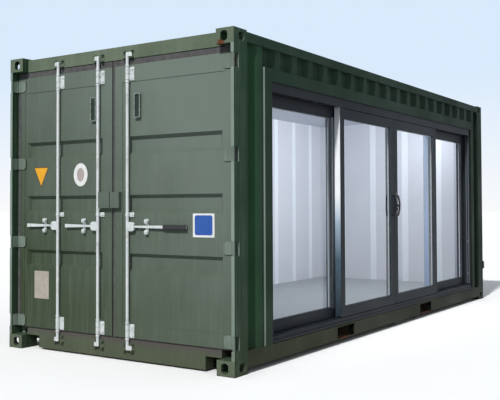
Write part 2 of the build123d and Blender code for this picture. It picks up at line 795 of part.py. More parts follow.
for name, door in doors.items():
    low, high, hinge = door["low"], door["high"], door["hinge"]
    field_low = low + door_stile
    field_high = high - door_stile
    field_bottom = door_bottom + door_bottom_rail
    field_top = door_top - door_top_rail
    field_middle = (field_low + field_high) / 2
    field_width = field_high - field_low

    # Leaf frame: a welded ring of rectangular tube.
    with BuildPart() as leaf:
        block((door_face, door_back), (low, high), (door_bottom, door_top))
        block((door_face, door_back), (field_low, field_high), (field_bottom, field_top), mode=Mode.SUBTRACT)
    finish(leaf, name + "_door_frame")

    # Pressed sheet in the frame, with three closed-ended grooves pushed inwards.
    sheet_face = door_face + door_panel_step
    with BuildPart() as pressing:
        sheet_plane = Plane.YZ.offset(sheet_face)
        with BuildSketch(sheet_plane):
            with Locations((field_middle, (field_bottom + field_top) / 2)):
                Rectangle(field_width, field_top - field_bottom)
        extrude(amount=door_sheet)
        groove_width = field_width - 2 * groove_margin
        groove_spots = [(field_middle, z) for z in groove_centres]
        with BuildSketch(sheet_plane.offset(door_sheet)):
            with Locations(*groove_spots):
                Rectangle(groove_width + 2 * door_sheet, groove_height + 2 * door_sheet)
        extrude(amount=groove_depth, taper=groove_taper)
        with BuildSketch(sheet_plane):
            with Locations(*groove_spots):
                Rectangle(groove_width, groove_height)
        extrude(amount=groove_depth, taper=groove_taper, mode=Mode.SUBTRACT)
    finish(pressing, name + "_door_panel")

    # Gasket: rubber in the gap round the leaf; the right leaf's gasket also covers the seam.
    with BuildPart() as gasket:
        edge_seal = door_edge_gap - gasket_gap
        seam_seal = door_seam_gap - seam_lip_gap
        low_seal = low - edge_seal if hinge < 0 else low
        high_seal = high + (edge_seal if hinge > 0 else seam_seal)
        with BuildSketch(Plane.YZ.offset(door_face + gasket_set_back)):
            seal_bottom = door_bottom - door_bottom_gap + gasket_gap
            seal_top = door_top + door_top_gap - gasket_gap
            with Locations(((low_seal + high_seal) / 2, (seal_bottom + seal_top) / 2)):
                Rectangle(high_seal - low_seal, seal_top - seal_bottom)
            with Locations(((low + high) / 2, (door_bottom + door_top) / 2)):
                Rectangle(high - low, door_top - door_bottom, mode=Mode.SUBTRACT)
        extrude(amount=gasket_depth)
    finish(gasket, name + "_door_gasket")

    # Hinges: a knuckle on the pin, an arm past the post, and a round-cornered blade along the leaf.
    with BuildPart() as hinges:
        blade_end = hinge * (door_edge - hinge_blade_length)
        for hinge_z in hinge_heights:
            with BuildSketch(Plane.XY.offset(hinge_z - hinge_blade_height / 2)):
                with Locations((pin_x, hinge * pin_y)):
                    Circle(knuckle_radius)
                with BuildLine():
                    Polyline(
                        (pin_x, hinge * (pin_y - knuckle_radius)),
                        (door_face - hinge_blade_thickness, hinge * (door_edge - hinge_blade_thickness)),
                        (door_face - hinge_blade_thickness, blade_end),
                        (door_face, blade_end),
                        (door_face, hinge * door_edge),
                        (pin_x + knuckle_radius, hinge * pin_y),
                        close=True,
                    )
                make_face()
                with Locations((pin_x, hinge * pin_y)):
                    RegularPolygon(pin_radius + pin_clearance, pin_sides, major_radius=False, mode=Mode.SUBTRACT)
            extrude(amount=hinge_blade_height)
        blade_corners = hinges.edges().filter_by(Axis.X).group_by(Axis.Y)[0 if hinge > 0 else -1]
        chamfer(blade_corners, length=hinge_blade_corner)
    finish(hinges, name + "_door_hinges")

    # Fittings on the leaf's face: rod bearings and handle catches.
    with BuildPart() as fittings:
        spots = [(rod_y, low_bearing, bearing_height) for rod_y in door["rods"]]
        spots += [(rod_y, high_bearing, bearing_height) for rod_y in door["rods"]]
        spots += [(rod_y, guide_z, guide_height) for rod_y in door["rods"]]
        for rod_y, bearing_z, tall in spots:
            with BuildSketch(Plane.YZ.offset(door_face - bearing_plate_thickness)) as plate:
                with Locations((rod_y, bearing_z)):
                    Rectangle(bearing_plate_width, tall)
                chamfer(plate.vertices(), length=bearing_plate_corner)
            extrude(amount=bearing_plate_thickness)
            with BuildSketch(Plane.XY.offset(bearing_z - tall / 2)) as saddle:
                with Locations(((rod_x - collar_radius + door_face) / 2, rod_y)):
                    Rectangle(door_face - rod_x + collar_radius, 2 * collar_radius)
                saddle_front = saddle.vertices().group_by(Axis.X)[0]
                chamfer(saddle_front, length=saddle_corner)
            extrude(amount=tall)
            with BuildSketch(Plane.XY.offset(bearing_z - tall / 2)):
                with Locations((rod_x, rod_y)):
                    RegularPolygon(bore_radius, rod_bearing_sides, major_radius=False)
            extrude(amount=tall, mode=Mode.SUBTRACT)
        for rod_y in door["rods"]:
            catch_y = rod_y + hinge * door["catch"]
            with BuildSketch(Plane.YZ.offset(door_face - bearing_plate_thickness)) as catch_plate:
                with Locations((catch_y, handle_height)):
                    Rectangle(catch_width, catch_height)
                chamfer(catch_plate.vertices(), length=catch_corner)
            extrude(amount=bearing_plate_thickness)
            with BuildSketch(Plane.YZ.offset(rod_x - handle_bar_thickness / 2)):
                with Locations(
                    (catch_y, handle_height - catch_boss_offset),
                    (catch_y, handle_height + catch_boss_offset),
                ):
                    RegularPolygon(catch_boss, catch_boss_sides)
            extrude(until=Until.NEXT)
    finish(fittings, name + "_door_fittings")

    # Boxes on the leaf's face: half of the lock box at the seam, and the tapered vent hood.
    with BuildPart() as boxes:
        box_inner = left_edge - lock_box_gap if hinge < 0 else left_edge
        box_outer = door_seam + hinge * lock_box_half
        box_z = handle_height + lock_box_rise
        box_low, box_high = box_z - lock_box_height / 2, box_z + lock_box_height / 2
        block((rod_x - collar_radius, door_face), sorted((box_inner, box_outer)), (box_low, box_high))
        open_side = sorted((box_inner, box_outer - hinge * lock_box_wall))
        block(
            (rod_x - collar_radius + lock_box_wall, door_face),
            open_side,
            (box_low + lock_box_wall, box_high - lock_box_wall),
            mode=Mode.SUBTRACT,
        )
        vent_z = door_top - vent_drop
        vent_y = door["vent"]
        with BuildSketch(Plane.YZ.offset(sheet_face)):
            with Locations((vent_y, vent_z)):
                Rectangle(vent_width, vent_height)
        with BuildSketch(Plane.YZ.offset(sheet_face - vent_depth)):
            with Locations((vent_y, vent_z)):
                Rectangle(vent_width - vent_lip, vent_height - 2 * vent_lip)
        loft()
    finish(boxes, name + "_door_boxes")

# ---------------------------------------------------------------- lock rods
rods = {
    "right": (right_rod, -1, long_handle),
    "left_inner": (left_inner_rod, 1, short_handle),
    "left_outer": (left_outer_rod, 1, short_handle),
}
cam_levels = (rod_bottom, rod_top - cam_height)

handle_bars = {}
for name, (rod_y, hinge, handle_length) in rods.items():
    # Rod: a round bar from sill to header.
    with BuildPart() as rod:
        with BuildSketch(Plane.XY.offset(rod_bottom)):
            with Locations((rod_x, rod_y)):
                Circle(rod_radius)
        extrude(amount=rod_top - rod_bottom)
    finish(rod, name + "_lock_rod")

    # Cams: a nose welded to each end of the rod, tapered so that it slips between the keeper lugs.
    with BuildPart() as cams:
        nose_y = rod_y + hinge * cam_reach
        for cam_z in cam_levels:
            with BuildSketch(Plane.XY.offset(cam_z)):
                with BuildLine():
                    Polyline(
                        (rod_x - cam_width / 2, rod_y),
                        (rod_x - cam_width / 2, nose_y - hinge * cam_width),
                        (rod_x, nose_y),
                        (rod_x + cam_width / 2, nose_y),
                        (rod_x + cam_width / 2, rod_y),
                        close=True,
                    )
                make_face()
                with Locations((rod_x, rod_y)):
                    Circle(rod_radius, mode=Mode.SUBTRACT)
            extrude(amount=cam_height)
    finish(cams, name + "_rod_cams")

    # Handle: a clevis hub on the rod, and a flat bar that widens to its end on the hinge side.
    with BuildPart() as handle:
        tip_y = rod_y + hinge * handle_length
        hub_y = rod_y + hinge * hub_reach
        with BuildSketch(Plane.YZ.offset(rod_x - hub_thickness / 2)):
            with BuildLine():
                Polyline(
                    (rod_y, handle_height - hub_height / 2),
                    (hub_y - hinge * hub_reach / 4, handle_height - hub_height / 2),
                    (hub_y, handle_height - hub_height / 3),
                    (hub_y, handle_height + hub_height / 3),
                    (hub_y - hinge * hub_reach / 4, handle_height + hub_height / 2),
                    (rod_y, handle_height + hub_height / 2),
                    close=True,
                )
            make_face()
        extrude(amount=hub_thickness)
        with BuildSketch(Plane.YZ.offset(rod_x - handle_bar_thickness / 2)):
            with BuildLine():
                Polyline(
                    (rod_y, handle_height - handle_neck / 2),
                    (hub_y, handle_height - handle_neck / 2),
                    (tip_y, handle_height - handle_end / 2),
                    (tip_y, handle_height + handle_end / 2),
                    (hub_y, handle_height + handle_neck / 2),
                    (rod_y, handle_height + handle_neck / 2),
                    close=True,
                )
            make_face()
        extrude(amount=handle_bar_thickness)
        with Locations((rod_x, rod_y, handle_height)):
            Cylinder(rod_radius, hub_height, mode=Mode.SUBTRACT)
    finish(handle, name + "_rod_handle")
    handle_bars[name] = handle.part

# Grip: a rubber sleeve over the end of the long handle.
with BuildPart() as handle_grip:
    with BuildSketch(Plane.XZ.offset(-(right_rod - long_handle))):
        with Locations((rod_x, handle_height)):
            RectangleRounded(grip_thickness, grip_height, grip_thickness / 3)
    extrude(amount=-grip_length)
    add(handle_bars["right"], mode=Mode.SUBTRACT)
finish(handle_grip, "handle_grip")

# Cam keepers: lugs over and under each cam, on both sides of the rod, open to the front.
with BuildPart() as cam_keepers:
    for rod_y, hinge, handle_length in rods.values():
        for cam_z in cam_levels:
            for lug_z in (cam_z - keeper_gap - keeper_lug, cam_z + cam_height + keeper_gap):
                for way in (-1, 1):
                    near = rod_y + way * (collar_radius + keeper_clearance)
                    keeper_y = sorted((near, rod_y + way * keeper_reach))
                    block((rod_x - cam_width / 2, door_face), keeper_y, (lug_z, lug_z + keeper_lug))
    front_corners = cam_keepers.edges().filter_by(Axis.Z).group_by(Axis.X)[0]
    chamfer(front_corners, length=keeper_corner)
finish(cam_keepers, "cam_keepers")

# ---------------------------------------------------------------- power inlet
# A wall-mounted inlet on the closed end, just past the corner: a chamfered box with a round cap.
with BuildPart() as power_inlet:
    inlet_y = -half_width + inlet_from_corner
    box_depth = inlet_depth - inlet_cap_depth
    with BuildSketch(Plane.YZ.offset(half_length)) as inlet_outline:
        with Locations((inlet_y, inlet_middle_z)):
            Rectangle(inlet_width, inlet_height)
        chamfer(inlet_outline.vertices(), length=inlet_corner)
    extrude(amount=box_depth)
    with BuildSketch(Plane.YZ.offset(half_length + box_depth)):
        with Locations((inlet_y, inlet_middle_z)):
            Circle(inlet_cap_diameter / 2)
    extrude(amount=inlet_cap_depth)
finish(power_inlet, "power_inlet")
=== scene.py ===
"""Twenty-foot shipping container cabin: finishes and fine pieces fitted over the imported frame, in metres."""

import bpy
import bmesh
import math
from mathutils import Matrix, Vector


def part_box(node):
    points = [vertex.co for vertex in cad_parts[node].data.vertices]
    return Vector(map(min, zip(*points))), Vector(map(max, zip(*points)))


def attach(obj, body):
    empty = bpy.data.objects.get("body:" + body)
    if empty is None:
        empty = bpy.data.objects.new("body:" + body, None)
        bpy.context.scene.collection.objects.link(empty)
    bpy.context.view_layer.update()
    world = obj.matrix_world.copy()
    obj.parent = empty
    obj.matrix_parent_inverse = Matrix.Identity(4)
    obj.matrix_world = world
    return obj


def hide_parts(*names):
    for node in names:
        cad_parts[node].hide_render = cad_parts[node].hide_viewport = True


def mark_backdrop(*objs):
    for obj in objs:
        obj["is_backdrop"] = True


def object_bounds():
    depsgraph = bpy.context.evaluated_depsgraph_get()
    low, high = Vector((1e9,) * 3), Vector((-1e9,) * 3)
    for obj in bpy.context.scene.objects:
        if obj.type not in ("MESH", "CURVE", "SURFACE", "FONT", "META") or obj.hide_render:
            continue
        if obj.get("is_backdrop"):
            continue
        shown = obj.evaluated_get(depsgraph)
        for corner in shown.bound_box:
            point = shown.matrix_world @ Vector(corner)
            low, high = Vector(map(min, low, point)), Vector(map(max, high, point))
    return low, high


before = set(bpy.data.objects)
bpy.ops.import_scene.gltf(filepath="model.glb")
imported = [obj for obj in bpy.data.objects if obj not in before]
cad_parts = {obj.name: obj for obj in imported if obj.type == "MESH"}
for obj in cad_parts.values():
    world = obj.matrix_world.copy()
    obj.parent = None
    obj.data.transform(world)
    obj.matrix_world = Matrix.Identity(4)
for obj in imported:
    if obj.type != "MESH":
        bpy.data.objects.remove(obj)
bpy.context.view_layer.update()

scene = bpy.context.scene
scene.view_settings.view_transform = "Standard"


# ---------------------------------------------------------------- studio
# A pale level floor under an even pale surround. One broad lamp stands high in front of the cargo doors, so the
# doors are bright and the long side is in soft shade, and a weak one over the windows shows the lined room.
def linear(code):
    """An sRGB hex colour as linear RGBA."""
    channels = [int(code[place : place + 2], 16) / 255 for place in (1, 3, 5)]
    return [c / 12.92 if c <= 0.04045 else ((c + 0.055) / 1.055) ** 2.4 for c in channels] + [1.0]


def add(tree, kind, inputs=(), **settings):
    """Adds a node, sets its properties, and sets or links its inputs by name or index.

    An input given as (pattern, low, high, least, most) is that pattern spread from low..high to least..most, or to
    0..1 where the last two are left out.
    """
    made = tree.nodes.new(kind)
    for name, value in settings.items():
        setattr(made, name, value)
    for name, value in dict(inputs).items():
        if isinstance(value, tuple) and isinstance(value[0], bpy.types.NodeSocket):
            value = add(tree, "ShaderNodeMapRange", dict(enumerate(value))).outputs[0]
        if isinstance(value, bpy.types.NodeSocket):
            tree.links.new(value, made.inputs[name])
        else:
            made.inputs[name].default_value = value
    return made


def seen_directly(tree):
    """1 for what the camera sees straight, mirrored or through glass, 0 for light that falls on the object."""
    rays = add(tree, "ShaderNodeLightPath").outputs
    seen = rays["Is Camera Ray"]
    for other in ("Is Glossy Ray", "Is Transmission Ray"):
        seen = add(tree, "ShaderNodeMath", {0: seen, 1: rays[other]}, operation="MAXIMUM").outputs[0]
    return seen


world = bpy.data.worlds.new("surround")
scene.world = world
world.use_nodes = True
tree = world.node_tree
tree.nodes.clear()
fill_light = add(tree, "ShaderNodeBackground", {"Color": linear("#E4ECF5"), "Strength": 0.5})
towards = add(tree, "ShaderNodeSeparateXYZ", {"Vector": add(tree, "ShaderNodeTexCoord").outputs["Generated"]})
horizon_haze = 0.16
sky_tones = {0: (towards.outputs["Z"], 0.0, horizon_haze), 6: linear("#F8FAFC"), 7: linear("#D9EAFC")}
sky_tone = add(tree, "ShaderNodeMix", sky_tones, data_type="RGBA").outputs[2]
surround_seen = add(tree, "ShaderNodeBackground", {"Color": sky_tone, "Strength": 1.0})
lit_or_seen = {0: seen_directly(tree), 1: fill_light.outputs[0], 2: surround_seen.outputs[0]}
add(tree, "ShaderNodeOutputWorld", {"Surface": add(tree, "ShaderNodeMixShader", lit_or_seen).outputs[0]})

floor_reach = 150.0
bpy.ops.mesh.primitive_plane_add(size=2 * floor_reach, location=(0, 0, 0))
studio_floor = bpy.context.object
studio_floor.name = "studio_floor"
floor_material = bpy.data.materials.new("studio_floor_matt")
floor_material.use_nodes = True
tree = floor_material.node_tree
tree.nodes.clear()
floor_lit = add(tree, "ShaderNodeBsdfDiffuse", {"Color": linear("#8A8C8E")})
floor_seen = add(tree, "ShaderNodeBsdfDiffuse", {"Color": linear("#FBFAF8")})
lit_or_seen = {0: seen_directly(tree), 1: floor_lit.outputs[0], 2: floor_seen.outputs[0]}
add(tree, "ShaderNodeOutputMaterial", {"Surface": add(tree, "ShaderNodeMixShader", lit_or_seen).outputs[0]})
studio_floor.data.materials.append(floor_material)

lamp_side = math.radians(-8)
lamp_height = math.radians(44)
key_lamp = bpy.data.lights.new("key_lamp", "SUN")
key_lamp.energy = 2.9
key_lamp.angle = math.radians(3)
key_lamp_holder = bpy.data.objects.new("key_lamp", key_lamp)
scene.collection.objects.link(key_lamp_holder)
towards_lamp = Vector((
    -math.cos(lamp_height) * math.cos(lamp_side),
    math.cos(lamp_height) * math.sin(lamp_side),
    math.sin(lamp_height),
))
key_lamp_holder.rotation_euler = towards_lamp.to_track_quat("Z", "Y").to_euler()

room_lamp = bpy.data.lights.new("room_lamp", "AREA")
room_lamp.shape = "RECTANGLE"
room_lamp.size, room_lamp.size_y = 4.4, 0.12
room_lamp.energy = 80.0
room_lamp_holder = bpy.data.objects.new("room_lamp", room_lamp)
scene.collection.objects.link(room_lamp_holder)
lining_low, lining_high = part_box("front_lining_header")
lamp_middle, lamp_stand_off = 0.25, 0.08
lamp_level = (lining_low.z + lining_high.z) / 2
room_lamp_holder.location = (lamp_middle, lining_high.y + lamp_stand_off, lamp_level)
room_lamp_holder.rotation_euler = (math.radians(62), 0, 0)
room_lamp_holder.visible_camera = False
room_lamp_holder.visible_glossy = False

camera = bpy.data.cameras.new("camera")
camera.sensor_width = 36.0
camera.lens = 57.94
camera.shift_x = 0.0346
camera.shift_y = -0.0306
camera.clip_end = 400.0
camera_holder = bpy.data.objects.new("camera", camera)
scene.collection.objects.link(camera_holder)
camera_place = Matrix.Translation((-7.945, -4.508, 1.259))
heading, tilt, roll = math.radians(33.89), math.radians(1.52), math.radians(-0.19)
look = Vector((math.cos(tilt) * math.cos(heading), math.cos(tilt) * math.sin(heading), math.sin(tilt)))
upright = look.to_track_quat("-Z", "Y").to_matrix()
camera_holder.matrix_world = camera_place @ (upright @ Matrix.Rotation(roll, 3, "Z")).to_4x4()
scene.camera = camera_holder
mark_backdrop(studio_floor, key_lamp_holder, room_lamp_holder, camera_holder)


# ---------------------------------------------------------------- steel shell
# Weathering steel: folded posts and rails and corrugated sheets, welded together and sprayed with matt dark green
# container paint. The paint is chalky in streaks where rain runs, scuffed, and dusty towards the ground.
def new_material(name):
    """An empty node material with its tree and its object coordinates."""
    material = bpy.data.materials.new(name)
    material.use_nodes = True
    material.node_tree.nodes.clear()
    return material, material.node_tree, add(material.node_tree, "ShaderNodeTexCoord").outputs["Object"]


def grain(tree, place, size, detail=3.0, roughness=0.55, offset=0.0, stretch=(1.0, 1.0, 1.0)):
    """Cloudy noise with blotches about size metres across, drawn out along an axis where stretch is under 1."""
    moved = add(tree, "ShaderNodeMapping", {"Vector": place, "Location": (offset, offset, offset), "Scale": stretch})
    sizes = {"Vector": moved.outputs[0], "Scale": 1 / size, "Detail": detail, "Roughness": roughness}
    return add(tree, "ShaderNodeTexNoise", sizes).outputs["Fac"]


def coat(tree, under, over, *patterns):
    """Lays one colour over another as far as all the patterns show. A colour is a hex code or another coat."""
    cover, *others = patterns
    for pattern in others:
        cover = add(tree, "ShaderNodeMath", {0: cover, 1: pattern}, operation="MULTIPLY").outputs[0]
    under, over = (linear(tone) if isinstance(tone, str) else tone for tone in (under, over))
    return add(tree, "ShaderNodeMix", {0: cover, 6: under, 7: over}, data_type="RGBA").outputs[2]


def surface(tree, colour, roughness, bumps=(), **constants):
    """A principled surface with its bumps, given as (height, depth in metres), and its output."""
    inputs = {"Base Color": colour, "Roughness": roughness}
    for height, depth in bumps:
        bump = {"Height": height, "Distance": depth, "Strength": 1.0}
        if "Normal" in inputs:
            bump["Normal"] = inputs["Normal"]
        inputs["Normal"] = add(tree, "ShaderNodeBump", bump).outputs[0]
    inputs.update({name.replace("_", " "): value for name, value in constants.items()})
    shader = add(tree, "ShaderNodeBsdfPrincipled", inputs)
    add(tree, "ShaderNodeOutputMaterial", {"Surface": shader.outputs[0]})


def rust(tree, place, share, spots):
    """Where rust shows: specks, more of them with a larger share, and ragged patches given as (centre, radius)."""
    specks = grain(tree, place, 0.02, 6.0, 0.75, offset=3.0)
    bare, full = 0.78 - share, 0.84 - share
    rusty = add(tree, "ShaderNodeMapRange", {0: specks, 1: bare, 2: full}).outputs[0]
    for centre, radius in spots:
        away = add(tree, "ShaderNodeVectorMath", {0: place, 1: centre}, operation="DISTANCE").outputs["Value"]
        ragged = add(tree, "ShaderNodeMath", {0: specks, 1: radius}, operation="MULTIPLY").outputs[0]
        reach = add(tree, "ShaderNodeMath", {0: away, 1: ragged}, operation="SUBTRACT").outputs[0]
        patch = (reach, 0.45 * radius, 0.2 * radius)
        rusty = add(tree, "ShaderNodeMath", {0: rusty, 1: patch}, operation="MAXIMUM").outputs[0]
    return rusty


def container_paint(
    name, paint, chalk, grime, dust, chalk_share, dust_height, rust_share=0.0, bleached_and_sunlit=None, spots=(), stain=None
):
    """Sprayed container paint: chalky streaks, grimy clouds, dust near the ground, rust specks and patches.

    bleached_and_sunlit is the tone of the faces that look out over the cargo doors: sun-bleached paint with a painted
    highlight where the lamp falls; stain is a dirt line that fades out downwards, as (tone, its foot, its top).
    """
    material, tree, place = new_material(name)
    axes = add(tree, "ShaderNodeSeparateXYZ", {"Vector": place}).outputs
    clouds = grain(tree, place, 0.45, 4.0)
    streaks = grain(tree, place, 0.035, 3.0, stretch=(1.0, 1.0, 0.04))
    scuffs = grain(tree, place, 0.012, 5.0, 0.7)
    colour = paint
    if bleached_and_sunlit:
        normal = add(tree, "ShaderNodeNewGeometry").outputs["True Normal"]
        outward = add(tree, "ShaderNodeSeparateXYZ", {"Vector": normal}).outputs["X"]
        colour = coat(tree, colour, bleached_and_sunlit, (outward, -0.3, -0.8))
    colour = coat(tree, colour, grime, (clouds, 0.35, 0.7, 0.0, 0.3))
    colour = coat(tree, colour, chalk, (streaks, 0.42, 0.75, 0.0, chalk_share), (clouds, 0.7, 0.35))
    colour = coat(tree, colour, dust, (axes["Z"], dust_height, 0.0), (scuffs, 0.3, 0.75))
    if stain:
        tone, foot, top = stain
        colour = coat(tree, colour, tone, (axes["Z"], foot, top), (clouds, 0.3, 0.6, 0.4, 1.0))
    # Painted shade: the window side is darkened towards the closed end, where it lies in deeper shade.
    window_side = (axes["Y"], -1.08, -1.16)
    shade_towards_closed_end = (axes["X"], -2.6, 2.9, 0.0, 0.68)
    colour = coat(tree, colour, "#060906", window_side, shade_towards_closed_end)
    rusty = rust(tree, place, rust_share, spots)
    surface(
        tree,
        coat(tree, colour, coat(tree, "#3E2418", "#7A4A2E", scuffs), rusty),
        (clouds, 0.3, 0.7, 0.62, 0.8),
        [(grain(tree, place, 0.004, 2.0), 0.0002), (rusty, 0.0003)],
        Specular_IOR_Level=0.2,
    )
    return material


def dress(material, *nodes):
    """Gives CAD nodes their finish."""
    for name in nodes:
        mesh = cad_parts[name].data
        mesh.materials.clear()
        mesh.materials.append(material)


shell_paint = container_paint("matt_green_container_paint", "#1D3724", "#3D5943", "#16291C", "#33382A", 0.25, 0.5)
dress(shell_paint, "end_posts", "top_side_rails", "end_rails", "roof_panel", "back_wall", "end_wall")
dress(shell_paint, "front_wall_header", "opening_jambs", "opening_header")

# Wall strips beside the window: what is left of the corrugated sheet where the opening was cut, welded to the posts
# and to the tubes round the opening. The same paint in a lighter tone, which is painted light standing in for the
# light on their slopes at the door end.
wall_strip_paint = container_paint("faded_green_wall_paint", "#274A30", "#46644B", "#1D3424", "#363B2C", 0.25, 0.5)
dress(wall_strip_paint, "front_wall_sides")

# ---------------------------------------------------------------- door end frame
# Cast corner blocks, door posts and header: the same green, bleached to a greyer tone where it faces out over the
# doors, which is partly a painted highlight where the lamp falls on those faces. Rust shows where the top hinge
# wears the near post and where the gasket holds water under the header.
near_top_hinge = (-3.0, -1.21, 2.345)
under_header = (-3.02, -1.1, 2.475)
frame_tones = ("#26432F", "#7D8B78", "#33472F", "#45452F")
end_frame_paint = container_paint(
    "bleached_green_frame_paint", *frame_tones, 0.45, 0.4, 0.015, bleached_and_sunlit="#67725F", spots=[(under_header, 0.04)]
)
dress(end_frame_paint, "corner_castings", "door_header", "cam_keepers")
post_paint = container_paint(
    "edge_worn_post_paint", *frame_tones, 0.45, 0.9, 0.015, bleached_and_sunlit="#8A9A8F", spots=[(near_top_hinge, 0.035)]
)
dress(post_paint, "door_posts")

# Door sill: a folded steel sill welded between the posts, in the same paint under more road dirt, with a brown dirt
# line along the foot of the doors.
sill_tones = ("#3C4B36", "#6B7461", "#39422F", "#4A4733")
dirt_line = ("#544C4B", 0.12, 0.17)
# The pale tone of its faces towards the doors is bleached paint and partly a painted highlight where the lamp falls.
sill_paint = container_paint(
    "dirty_green_sill_paint", *sill_tones, 0.5, 0.35, 0.03, bleached_and_sunlit="#55614E", stain=dirt_line
)
dress(sill_paint, "door_sill")

# ---------------------------------------------------------------- base frame
# Bottom rails and cross-members: channel steel, green paint under olive road dirt, with surface rust. The fork
# pockets are scraped to rusty steel where truck forks rub.
pocket_wear = [((x, -1.219, 0.045), 0.11) for x in (-1.19, 0.874)]
base_paint = container_paint(
    "dirty_green_base_paint", "#333A26", "#50523A", "#262B1C", "#4A4733", 0.6, 0.3, 0.05, spots=pocket_wear
)
dress(base_paint, "bottom_side_rails", "cross_members")
pocket_paint = container_paint("scraped_pocket_steel", "#453A2A", "#8A7B66", "#2E241A", "#6B5D48", 0.8, 0.2, 0.12)
dress(pocket_paint, "fork_pockets")

# ---------------------------------------------------------------- cargo doors
# Steel leaves: a tube frame with a pressed sheet in it, hung on four forged hinges each. The paint is faded, with a
# painted sheen of sky and sun glare that is strongest at the top of the right leaf and least at the foot of the left
# one, and faint rain streaks.
door_paint, tree, place = new_material("bleached_green_door_paint")
axes = add(tree, "ShaderNodeSeparateXYZ", {"Vector": place}).outputs
clouds = grain(tree, place, 0.5, 4.0)
streaks = grain(tree, place, 0.03, 3.0, stretch=(1.0, 1.0, 0.05))
scuffs = grain(tree, place, 0.01, 5.0, 0.7)
# How pale the paint is: faded unevenly, with a painted sheen that grows with height and nearness to the right edge.
fade_and_sheen = (clouds, 0.3, 0.7, -0.12, 0.12)
for along, share in (((axes["Z"], 0.5, 2.3), 0.69), ((axes["Y"], 1.2, -1.2), 0.72)):
    fade_and_sheen = add(tree, "ShaderNodeMath", {0: along, 1: share, 2: fade_and_sheen}, operation="MULTIPLY_ADD").outputs[0]
colour = coat(tree, "#384430", "#6E7A70", (fade_and_sheen, 0.15, 1.15))
colour = coat(tree, colour, "#78826F", (streaks, 0.45, 0.75, 0.0, 0.2))
colour = coat(tree, colour, "#474A38", (axes["Z"], 0.7, 0.1), (scuffs, 0.35, 0.7, 0.0, 0.6))
# Painted shade: faces that look upwards are darkened, which dulls the lamp-lit lower slopes of the grooves.
normal = add(tree, "ShaderNodeNewGeometry").outputs["True Normal"]
upward = add(tree, "ShaderNodeSeparateXYZ", {"Vector": normal}).outputs["Z"]
colour = coat(tree, colour, "#37402F", (upward, 0.1, 0.6, 0.0, 0.35))
colour = coat(tree, colour, "#6A4430", rust(tree, place, 0.01, [(near_top_hinge, 0.03)]))
surface(
    tree,
    colour,
    (clouds, 0.3, 0.7, 0.55, 0.72),
    [(grain(tree, place, 0.004, 2.0), 0.0002), (grain(tree, place, 0.25, 2.0), 0.0015)],
    Specular_IOR_Level=0.25,
)
dress(door_paint, *[door + part for door in ("right_door", "left_door") for part in ("_frame", "_panel", "_boxes")])

# Hinge blades: forged steel, welded to the edges of the leaves and sprayed with them, their paint worn and chalked
# where they turn.
hinge_tones = ("#33483A", "#97A397", "#33402F", "#45452F")
# Their faces towards the doors take a pale bleached tone that is partly a painted highlight where the lamp falls.
hinge_paint = container_paint(
    "worn_hinge_paint", *hinge_tones, 0.7, 0.3, 0.02, bleached_and_sunlit="#6F7D70", spots=[(near_top_hinge, 0.03)]
)
dress(hinge_paint, "right_door_hinges", "left_door_hinges")

# Door gaskets: extruded rubber with a hollow lip, held round the edge of each leaf by a screwed strip. Its grey is
# painted lighter than the rubber, as painted light, so that it reads lit in the shade under the header.
door_rubber, tree, place = new_material("weathered_door_rubber")
surface(
    tree,
    coat(tree, "#4A4949", "#605E5E", (grain(tree, place, 0.05, 4.0), 0.3, 0.7)),
    0.85,
    [(grain(tree, place, 0.003), 0.0002)],
    Specular_IOR_Level=0.25,
)
dress(door_rubber, "right_door_gasket", "left_door_gasket")

# ---------------------------------------------------------------- lock rods and their fittings
# Hot-dip galvanised steel: rods, cams, handles, bearings and catches, dull white-grey with pale crystals about two
# centimetres across, duller patches and a few dirty smears. The fittings are bolted to the door frames.
zinc, tree, place = new_material("galvanised_zinc_coat")
crystals = add(tree, "ShaderNodeTexVoronoi", {"Vector": place, "Scale": 1 / 0.018}).outputs["Color"]
crystal_tone = add(tree, "ShaderNodeSeparateColor", {"Color": crystals}).outputs[0]
dull = grain(tree, place, 0.08, 4.0)
colour = coat(tree, "#DDE0DE", "#B9BDBC", (crystal_tone, 0.0, 1.0, 0.0, 0.35))
colour = coat(tree, colour, "#8E8C84", (dull, 0.55, 0.8, 0.0, 0.6))
surface(tree, colour, (dull, 0.3, 0.7, 0.42, 0.6), [(grain(tree, place, 0.006), 0.0002)], Metallic=0.25)
rod_parts = ("_lock_rod", "_rod_cams", "_rod_handle")
dress(zinc, *[rod + part for rod in ("right", "left_inner", "left_outer") for part in rod_parts])


def rounded(low, high, corner, steps=4):
    """Outline of a rectangle with rounded corners."""
    outline = []
    for quarter in range(4):
        first = high[0] - corner if quarter in (0, 3) else low[0] + corner
        second = high[1] - corner if quarter in (0, 1) else low[1] + corner
        for step in range(steps + 1):
            turn = (quarter + step / steps) * math.pi / 2
            outline.append((first + corner * math.cos(turn), second + corner * math.sin(turn)))
    return outline


def arc(centre, radius, start, end, steps):
    """Points along an arc between two angles in degrees."""
    turns = [math.radians(start + (end - start) * step / steps) for step in range(steps + 1)]
    return [(centre[0] + radius * math.cos(turn), centre[1] + radius * math.sin(turn)) for turn in turns]


def disc(centre, radius):
    """Outline of a circle in 24 steps."""
    return arc(centre, radius, 0, 345, 23)


def slab(mesh, outline, along, low, high):
    """Adds a flat piece: an outline in two axes, standing from low to high along the third."""
    others = [axis for axis in range(3) if axis != along]
    rings = []
    for level in (low, high):
        corners = []
        for point in outline:
            corner = [level, level, level]
            corner[others[0]], corner[others[1]] = point
            corners.append(mesh.verts.new(corner))
        rings.append(corners)
    mesh.faces.new(rings[0])
    mesh.faces.new(list(reversed(rings[1])))
    for index in range(len(outline)):
        after = (index + 1) % len(outline)
        mesh.faces.new((rings[0][index], rings[1][index], rings[1][after], rings[0][after]))


